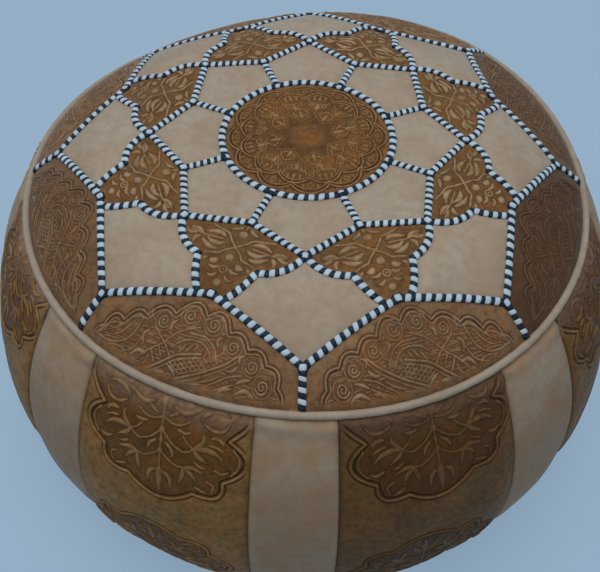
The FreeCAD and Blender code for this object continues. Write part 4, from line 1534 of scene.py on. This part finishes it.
def star_runs():
    """The runs of both star seams and of the spokes inside and outside them."""
    inner_side = [plan(INNER_TIP, 0), plan(INNER_NOTCH, HALF_FOLD)]
    outer_side = [plan(OUTER_TIP, 0), plan(OUTER_NOTCH, HALF_FOLD)]
    inner_spoke = [plan(RING + SPOKE_GAPS[0], HALF_FOLD), plan(INNER_NOTCH, HALF_FOLD)]
    outer_spoke = [plan(OUTER_TIP, 0), plan(CROWN_EDGE - SPOKE_GAPS[1], 0)]
    runs = []
    for side, pitch in ((inner_side, INNER_PITCH), (outer_side, OUTER_PITCH)):
        runs += with_room(all_round(side) + all_round(mirror(side)), KNOT_ROOM, KNOT_ROOM, pitch)
    runs += with_room(all_round(inner_spoke), SPOKE_ROOM, KNOT_ROOM, INNER_PITCH)
    return runs + with_room(all_round(outer_spoke), KNOT_ROOM, SPOKE_ROOM, WAVE_PITCH)


knot_places = np.concatenate(all_round([plan(INNER_TIP, 0), plan(INNER_NOTCH, HALF_FOLD),
                                        plan(OUTER_TIP, 0), plan(OUTER_NOTCH, HALF_FOLD)]))
loop_places = np.concatenate(all_round([plan(RING + LOOP_GAP, HALF_FOLD)]))
wave_runs = with_room(all_round(wave_right) + all_round(wave_left), KNOT_ROOM, WAVE_END_ROOM, WAVE_PITCH)
laced("medallion_lacing", [(ring_run(RING, 0, 360, RING_STEPS), 0, 0, RING_PITCH)],
      [("loop_black", loop_places, BLACK_LOOP, black_lace)], seed=700)
laced("star_lacing", star_runs(), [("knot_black", knot_places, BLACK_KNOT, black_lace),
                                   ("knot_white", knot_places, WHITE_KNOT, white_lace)], seed=710)
laced("wave_lacing", wave_runs, [], seed=720)


# Stuffing: loose fibre in lumps, inside the cover

STUFFING_INSET = 8.0
STUFFING_FOOT = 16.0
STUFFING_LIFT = 2.0
STUFFING_HEART = 30
STUFFING_SIDES = 96
# How far its side stays from the piping and from the foot
STUFFING_ENDS = (4, 1)
CROWN_ROWS = 16
SIDE_ROWS = 40
LUMP_SHARE = 0.02
LUMP_SEED = 5
LUMP_SIZE = 60.0


def stuffing():
    """A closed round skin inside the cover, with lumps pressed into it."""
    down = np.linspace(STUFFING_ENDS[0], side_run - STUFFING_ENDS[1], SIDE_ROWS)
    side_radius, side_level, lean = side_section(down)
    crown_radius = np.linspace(STUFFING_HEART, EDGE_RADIUS - STUFFING_INSET, CROWN_ROWS)
    crown_level = crown_surface(np.stack([crown_radius, np.zeros(CROWN_ROWS)], 1))[0][:, 2] - STUFFING_INSET
    side_level = np.maximum(side_level - STUFFING_INSET * np.sin(lean), STUFFING_FOOT)
    radii = np.r_[crown_radius, side_radius - STUFFING_INSET * np.cos(lean)][::-1, None]
    levels = np.r_[crown_level, side_level][::-1, None]
    points, faces = skinned(swept(radii, round_angles(STUFFING_SIDES), levels))
    lumps = 0.5 + 0.5 * ripples(points[:, :2] + points[:, 2:], LUMP_SEED, LUMP_SIZE)
    points = points * (1 - LUMP_SHARE * lumps)[:, None]
    return new_mesh("stuffing_wadding", points + (0, 0, STUFFING_LIFT), faces)


dress(stuffing(), "stuffing", wadding)


# Base and zip. Each half of the base and of the zip is drawn on +Y, and the second is turned half round.

SLOT_HALF = 9.0
SLOT_RUN = 136.03
SLOT_STEPS = 15
SPLIT_HALF = 0.2
LIP_RISE = 9.0
LIP_WIDTH = 4.2
LIP_EDGE = 0.6
BASE_RIM_GAP = 0.3
BASE_RIM_STEPS = 90
BASE_RIM_START = 0.0012
BASE_SPACING = (1.6, 4.5)
BASE_LEAST = 2.4
FINE_REACH = 11.0
# The seam beside the slot: its place, width and height. The hem: its height and width.
SLOT_SEAM = (7.0, 0.9, 0.9)
BASE_HEM = (1.2, 4.0)
# Unevenness of the base: its height, wavelength, and where it starts beside the slot
BASE_UNEVEN = (0.35, 40.0, (5, 20))
UNEVEN_SEED = 900
BASE_TONE_SEED = 950
BASE_TONE_WAVE = 60.0
# Distance over which painted shade darkens the base beside the slot
SLOT_SHADE = 2.0


def half_turn(number):
    """Degrees that the first or the second half is turned by."""
    return 180 * (number - 1)


def slot_half():
    """Half of the slot's edge, from its left end to its right end."""
    turn = np.linspace(math.pi, 0, 2 * SLOT_STEPS + 1)
    round_end = SLOT_HALF * np.stack([np.cos(turn), np.sin(turn)], 1)
    left = round_end[:SLOT_STEPS + 1] - (SLOT_RUN, 0)
    right = round_end[SLOT_STEPS:] + (SLOT_RUN, 0)
    return np.maximum(np.concatenate([left, right]), (-np.inf, SPLIT_HALF))


def base_half(number):
    """Half of the base, with a lip turned up along the slot, a seam beside it and a hem at the rim."""
    edge = slot_half()
    rim = foot_radius - BASE_RIM_GAP
    turn = np.linspace(BASE_RIM_START, math.pi - BASE_RIM_START, BASE_RIM_STEPS)
    outline = np.concatenate([edge, np.stack([rim * np.cos(turn), rim * np.sin(turn)], 1)])
    flat, faces, count = net(outline, *BASE_SPACING, lambda spots: segments_near(spots, edge) < FINE_REACH)
    gap = segments_near(flat, edge)
    roll = np.clip(1 - gap / LIP_WIDTH, 0, 1)
    lip = LIP_RISE * (1 - np.sqrt(np.maximum(1 - roll**2, 0)))
    seam_place, seam_width, seam_height = SLOT_SEAM
    seam = seam_height * np.exp(-((gap - seam_place) / seam_width)**2)
    rise, wavelength, start = BASE_UNEVEN
    uneven = rise * (1 + ripples(flat, UNEVEN_SEED + number, wavelength)) * smooth_step(gap, *start)
    hem = BASE_HEM[0] * np.exp(-(rim - np.hypot(*flat.T)) / BASE_HEM[1])
    low = np.maximum(lip, seam + uneven + hem)
    high = np.maximum(low + LIP_EDGE, BASE_LEAST)
    total = len(flat)
    points = turned(np.concatenate([np.c_[flat, low], np.c_[flat, high]]), half_turn(number))
    faces = np.concatenate([faces[:, ::-1], faces + total, wall_faces(count, total)[:, ::-1]])
    tone = ripples(flat, BASE_TONE_SEED + number, BASE_TONE_WAVE)
    # Painted shade beside the slot
    lower = {"tone": tone, "seam": np.exp(-gap / SLOT_SHADE)}
    attributes = {key: np.r_[values, np.zeros(total)] for key, values in lower.items()}
    return outwards(new_mesh(f"leather_base_half_{number}", points, faces, attributes))


# Section of a tape, from the edge at the teeth: places across it, and how far it bulges there
TAPE_INNER = 3.3
TAPE_PLACES = [0, 0.25, 0.8, 1.5, 2.1, 2.6, 4.5, 7.0, 10.0, 12.5, 13.4]
TAPE_BULGE = np.array([0.0, 0.14, 0.2, 0.19, 0.12, 0.0, 0.06, 0.0, 0.06, 0.0, 0.05, 0.0])
TAPE_TOP_BULGE = 0.5
TAPE_RIB = 0.05
TAPE_STEP = 1.0


def zip_tape(number):
    """A woven tape with a thicker cord along the teeth and fine ribs across."""
    low, high = (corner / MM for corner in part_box("zip_tapes"))
    across = np.array(TAPE_PLACES + [high.y - TAPE_INNER]) + TAPE_INNER
    along = np.arange(low.x, high.x + TAPE_STEP / 100, TAPE_STEP)
    x, y = np.meshgrid(along, across, indexing="ij")
    rib = TAPE_RIB * (np.arange(len(along)) % 2)[:, None]
    bottom = np.stack([x, y, low.z - TAPE_BULGE - rib + 0 * x], 2)
    top = np.stack([x, y, high.z + TAPE_BULGE * TAPE_TOP_BULGE + rib + 0 * x], 2)
    index = np.arange(x.size).reshape(x.shape)
    quads = np.stack([index[:-1, :-1], index[1:, :-1], index[1:, 1:], index[:-1, 1:]], 2).reshape(-1, 4)
    loop = np.concatenate([index[:, 0], index[-1, 1:], index[-2::-1, -1], index[0, -2:0:-1]])
    after = np.roll(loop, -1)
    walls = np.stack([loop, after, after + x.size, loop + x.size], 1)
    points = turned(np.concatenate([bottom.reshape(-1, 3), top.reshape(-1, 3)]), half_turn(number))
    return new_mesh(f"zip_tape_{number}", points, np.concatenate([quads[:, ::-1], quads + x.size, walls]))


# Half length, half width and height of a stitch, and its rings and sides
THREAD = (1.55, 0.42, 0.42, 4, 8)
THREAD_PITCH = 4.4
THREAD_GAP = 7.0
THREAD_ROOM = 1.0
THREAD_LEVEL = 0.62


def stitch_line(number):
    """Thread along the slot's edge, in short straight stitches sunk in the leather."""
    places = run_places(beside(slot_half(), THREAD_GAP), THREAD_ROOM, THREAD_ROOM, THREAD_PITCH)[0]
    points, faces = stitch(*THREAD)
    x, y, z = points.T
    faces = [face[::-1] for face in faces]
    parts = []
    for at_x, at_y, way_x, way_y, _ in places:
        made = np.stack([at_x + way_x * x - way_y * y, at_y + way_y * x + way_x * y, THREAD_LEVEL - z], 1)
        parts.append((turned(made, half_turn(number)), faces))
    return gathered(f"base_thread_{number}", parts)


TOOTH_PITCH = 4.0
TOOTH_LENGTH = 1.6
TOOTH_SIDES = 14
TOOTH_SQUARE = 0.55
# From its head to its foot at the tape: distance from the middle, half length and half depth
TOOTH_SECTION = np.array([
    (0.30, 0.24, 0.85), (0.34, 0.38, 1.06), (0.46, 0.48, 1.2), (0.9, 0.52, 1.28), (1.3, 0.66, 1.3),
    (1.8, 0.78, 1.3), (3.0, 0.78, 1.3), (3.22, 0.7, 1.22), (3.28, 0.5, 1.0)])


def squared_ring(power, sides):
    """A ring between round and square, for power from 1 to 0, that starts at the top and goes to +x."""
    turn = round_angles(sides)
    return powered(np.sin(turn), power), powered(np.cos(turn), power)


def zip_row_teeth():
    """Rounded teeth in two rows that leave a thin slit between them for the slider's web."""
    low, high = (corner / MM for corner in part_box("zip_teeth"))
    count = 1 + round((high.x - low.x - TOOTH_LENGTH - TOOTH_PITCH / 2) / TOOTH_PITCH)
    across, up = squared_ring(TOOTH_SQUARE, TOOTH_SIDES)
    reach, half_length, half_depth = TOOTH_SECTION.T[:, :, None]
    points, faces = skinned(np.stack([half_length * across, reach + 0 * across, half_depth * up], 2))
    first = low.x + TOOTH_LENGTH / 2
    level = (low.z + high.z) / 2
    parts = []
    for number in range(count):
        parts.append((points + (first + number * TOOTH_PITCH, 0, level), faces))
        parts.append((turned(points, 180) + (first + (number + 0.5) * TOOTH_PITCH, 0, level), faces))
    return gathered("zip_teeth_rows", parts)


# Slider, with x from its back end
SLIDER_HALF = [(14.0, 0), (14.0, 2.4), (13.7, 3.9), (12.6, 5.1), (10.4, 5.75), (6, 5.42), (2.2, 5.08),
               (0.7, 4.4), (0.05, 2.8), (0, 0)]
SLIDER_STEPS = 8
SLIDER_TOP = 12.4
SLIDER_PLATE = 1.4
SLIDER_SINK = 0.1
PLATE_ROUNDING = 0.4
RIM_INSIDE = 3.95
RIM_LEAST = 0.4
RIM_HEIGHT = 0.8
RIM_ROUNDING = 0.12
WEB = np.array([(9.6, -0.17), (13.7, -0.17), (13.7, 0.17), (9.6, 0.17)])
WEB_ROUNDING = 0.03
BRIDGE_MIDDLE = (3.0, 4.9)
BRIDGE_HALF = (2.85, 1.62)
BRIDGE_RISE = 1.5
BRIDGE_WIDTH = 1.15
BRIDGE_SQUARE = 0.7
BRIDGE_SIDES = 32
BRIDGE_EYE = 0.98
# Loops of the bridge's skin: size, where 0 is the eye, and place across it
BRIDGE_LOOPS = [(1.0, -0.8), (1.0, 0.8), (0.9, 1.0), (0, 1.0), (0, -1.0), (0.9, -1.0)]
# A plate's rounded edge: height above its face and distance inside its outline, as shares of the rounding
ROUNDED = [(0, 2), (0, 1), (0.3, 0.3), (1, 0)]


def slab(outline, low, high, rounding):
    """A plate with rounded edges."""
    steps = [(low + up * rounding, gap) for up, gap in ROUNDED]
    steps += [(low + high - level, gap) for level, gap in steps[::-1]]
    rings = []
    for level, gap in steps:
        edge = inset(outline, gap * rounding)
        rings.append(np.c_[edge, np.full(len(edge), level)])
    return skinned(np.array(rings))


def bridge():
    """The arched bridge under the slider, with an eye for the pull's pin."""
    across, up = squared_ring(BRIDGE_SQUARE, BRIDGE_SIDES)
    round_across, round_up = squared_ring(1.0, BRIDGE_SIDES)
    rings = []
    for size, side in BRIDGE_LOOPS:
        x = BRIDGE_HALF[0] * size * across if size else BRIDGE_EYE * round_across
        z = BRIDGE_HALF[1] * size * up if size else BRIDGE_EYE * round_up
        rings.append(np.stack([BRIDGE_MIDDLE[0] + x, side * BRIDGE_WIDTH + 0 * x, BRIDGE_MIDDLE[1] + z], 1))
    return skinned(np.array(rings), False)


def cast_slider():
    """Two plates with rims that guide the tapes, a thin web that joins them, and a bridge for the pull."""
    half = smooth_line(SLIDER_HALF, SLIDER_STEPS)
    outline = np.concatenate([half[:-1], half[:0:-1] * (1, -1)])
    rim = half[half[:, 1] > RIM_INSIDE + RIM_LEAST]
    rim = np.concatenate([rim, [(rim[-1, 0], RIM_INSIDE), (rim[0, 0], RIM_INSIDE)]])
    bottom = BRIDGE_MIDDLE[1] + BRIDGE_RISE
    low, high = bottom + SLIDER_PLATE, SLIDER_TOP - SLIDER_PLATE
    sunk_low, sunk_high = low - SLIDER_SINK, high + SLIDER_SINK
    parts = [slab(outline, bottom, low, PLATE_ROUNDING), slab(outline, high, SLIDER_TOP, PLATE_ROUNDING),
             slab(WEB, sunk_low, sunk_high, WEB_ROUNDING), bridge()]
    for edge in (rim, rim[::-1] * (1, -1)):
        parts.append(slab(edge, sunk_low, low + RIM_HEIGHT, RIM_ROUNDING))
        parts.append(slab(edge, high - RIM_HEIGHT, sunk_high, RIM_ROUNDING))
    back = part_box("zip_slider")[1].x / MM - SLIDER_HALF[0][0]
    return gathered("zip_slider_cast", [(points + (back, 0, 0), faces) for points, faces in parts])


for number in (1, 2):
    dress(base_half(number), "base_halves", base_leather)
    dress(zip_tape(number), "zip_tapes", tape_cloth)
    dress(stitch_line(number), "base_halves", white_lace)
dress(zip_row_teeth(), "zip_teeth", brass_metal)
dress(cast_slider(), "zip_slider", brass_metal, body="slider")
for node in ("zip_stops", "zip_pull"):
    solid = frame["nodes"][node]
    solid.data.materials.clear()
    solid.data.materials.append(brass_metal)


# Camera, floor and light

CAMERA_LENS = 51.906
CAMERA_SENSOR = 36.0
CAMERA_DISTANCE = 701.2
CAMERA_AIM = 244.2
CAMERA_ELEVATION = 44.149
CAMERA_AZIMUTH = -0.294
CAMERA_PITCH = -6.982
CAMERA_YAW = 0.419
CAMERA_ROLL = 1.518


def about(axis, degrees):
    return Matrix.Rotation(math.radians(degrees), 3, axis)


def photo_camera():
    """The photo's camera, as fitted to the crown's pattern."""
    tilt, swing = math.radians(CAMERA_ELEVATION), math.radians(CAMERA_AZIMUTH)
    back = Vector((math.sin(swing) * math.cos(tilt), -math.cos(swing) * math.cos(tilt), math.sin(tilt)))
    right = Vector((math.cos(swing), math.sin(swing), 0))
    axes = Matrix((right, back.cross(right), back)).transposed()
    nod = about("Z", CAMERA_ROLL) @ about("Y", CAMERA_YAW) @ about("X", CAMERA_PITCH)
    data = bpy.data.cameras.new("camera")
    data.lens = CAMERA_LENS
    data.sensor_width = CAMERA_SENSOR
    camera = bpy.data.objects.new("camera", data)
    bpy.context.scene.collection.objects.link(camera)
    place = back * CAMERA_DISTANCE + Vector((0, 0, CAMERA_AIM))
    camera.matrix_world = Matrix.Translation(place * MM) @ (axes @ nod).to_4x4()
    bpy.context.scene.camera = camera


BACKDROP = (0.300, 0.430, 0.565)
FLOOR_COLOUR = (0.39, 0.49, 0.60)
FLOOR_LIT = 0.32
FLOOR_GLOW = 0.73
FLOOR_RADIUS = 9000.0
FLOOR_SIDES = 96
FLOOR_DROP = 0.2
FLOOR_FADE = (0.5, 3.0)
WORLD_LIGHT = (0.96, 0.98, 1.0)
WORLD_STRENGTH = 0.42
LAMP = {"size": 1.8, "energy": 31.0, "color": (1.0, 0.99, 0.97)}
LAMP_PLACE = Vector((-0.2, 0.0, 2.4))
LAMP_AIM = Vector((0, 0, 0.2))


def empty_tree(owner):
    """The nodes of a material or a world, with none in them yet."""
    owner.use_nodes = True
    owner.node_tree.nodes.clear()
    return Nodes(owner.node_tree)


def seen_directly(tree):
    """1 for rays from the camera, a mirror or glass, and 0 for the light that the stage throws back."""
    rays = tree.add("LightPath").outputs
    mirrored = tree.calculated("MAXIMUM", rays["Is Camera Ray"], rays["Is Glossy Ray"])
    return tree.calculated("MAXIMUM", mirrored, rays["Is Transmission Ray"])


def floor():
    """A plain pale floor that keeps the shadow and blends into the backdrop."""
    rim = swept(FLOOR_RADIUS, round_angles(FLOOR_SIDES), -FLOOR_DROP)
    piece = new_mesh("floor", rim, [range(FLOOR_SIDES)])
    material = bpy.data.materials.new("floor")
    tree = empty_tree(material)
    plain = tree.add("BsdfDiffuse", {"Color": FLOOR_COLOUR}).outputs[0]
    lit = tree.add("BsdfDiffuse", {"Color": tuple(FLOOR_LIT * part for part in BACKDROP)}).outputs[0]
    glow = tree.add("Emission", {"Color": BACKDROP, "Strength": FLOOR_GLOW}).outputs[0]
    near = tree.add("AddShader", {0: lit, 1: glow}).outputs[0]
    far = tree.add("Emission", {"Color": BACKDROP, "Strength": 1.0}).outputs[0]
    place = tree.add("TexCoord").outputs["Object"]
    away = tree.add("VectorMath", {0: place}, operation="LENGTH").outputs["Value"]
    seen = tree.shown(tree.scaled(away, *FLOOR_FADE), near, far)
    tree.add("OutputMaterial", {"Surface": tree.shown(seen_directly(tree), plain, seen)})
    piece.data.materials.append(material)


def world():
    """Soft light from all round, with the backdrop's colour where it is seen."""
    sky = bpy.data.worlds.new("studio")
    bpy.context.scene.world = sky
    tree = empty_tree(sky)
    soft = tree.add("Background", {"Color": WORLD_LIGHT, "Strength": WORLD_STRENGTH}).outputs[0]
    seen = tree.add("Background", {"Color": BACKDROP, "Strength": 1.0}).outputs[0]
    tree.add("OutputWorld", {"Surface": tree.shown(seen_directly(tree), soft, seen)})


def overhead_light():
    """A broad round lamp over the pouf."""
    data = bpy.data.lights.new("overhead", "AREA")
    data.shape = "DISK"
    for key, value in LAMP.items():
        setattr(data, key, value)
    light = bpy.data.objects.new("overhead", data)
    light.location = LAMP_PLACE
    light.rotation_euler = (LAMP_AIM - LAMP_PLACE).to_track_quat("-Z", "Y").to_euler()
    bpy.context.scene.collection.objects.link(light)


photo_camera()
floor()
world()
overhead_light()
bpy.context.scene.view_settings.view_transform = "Standard"
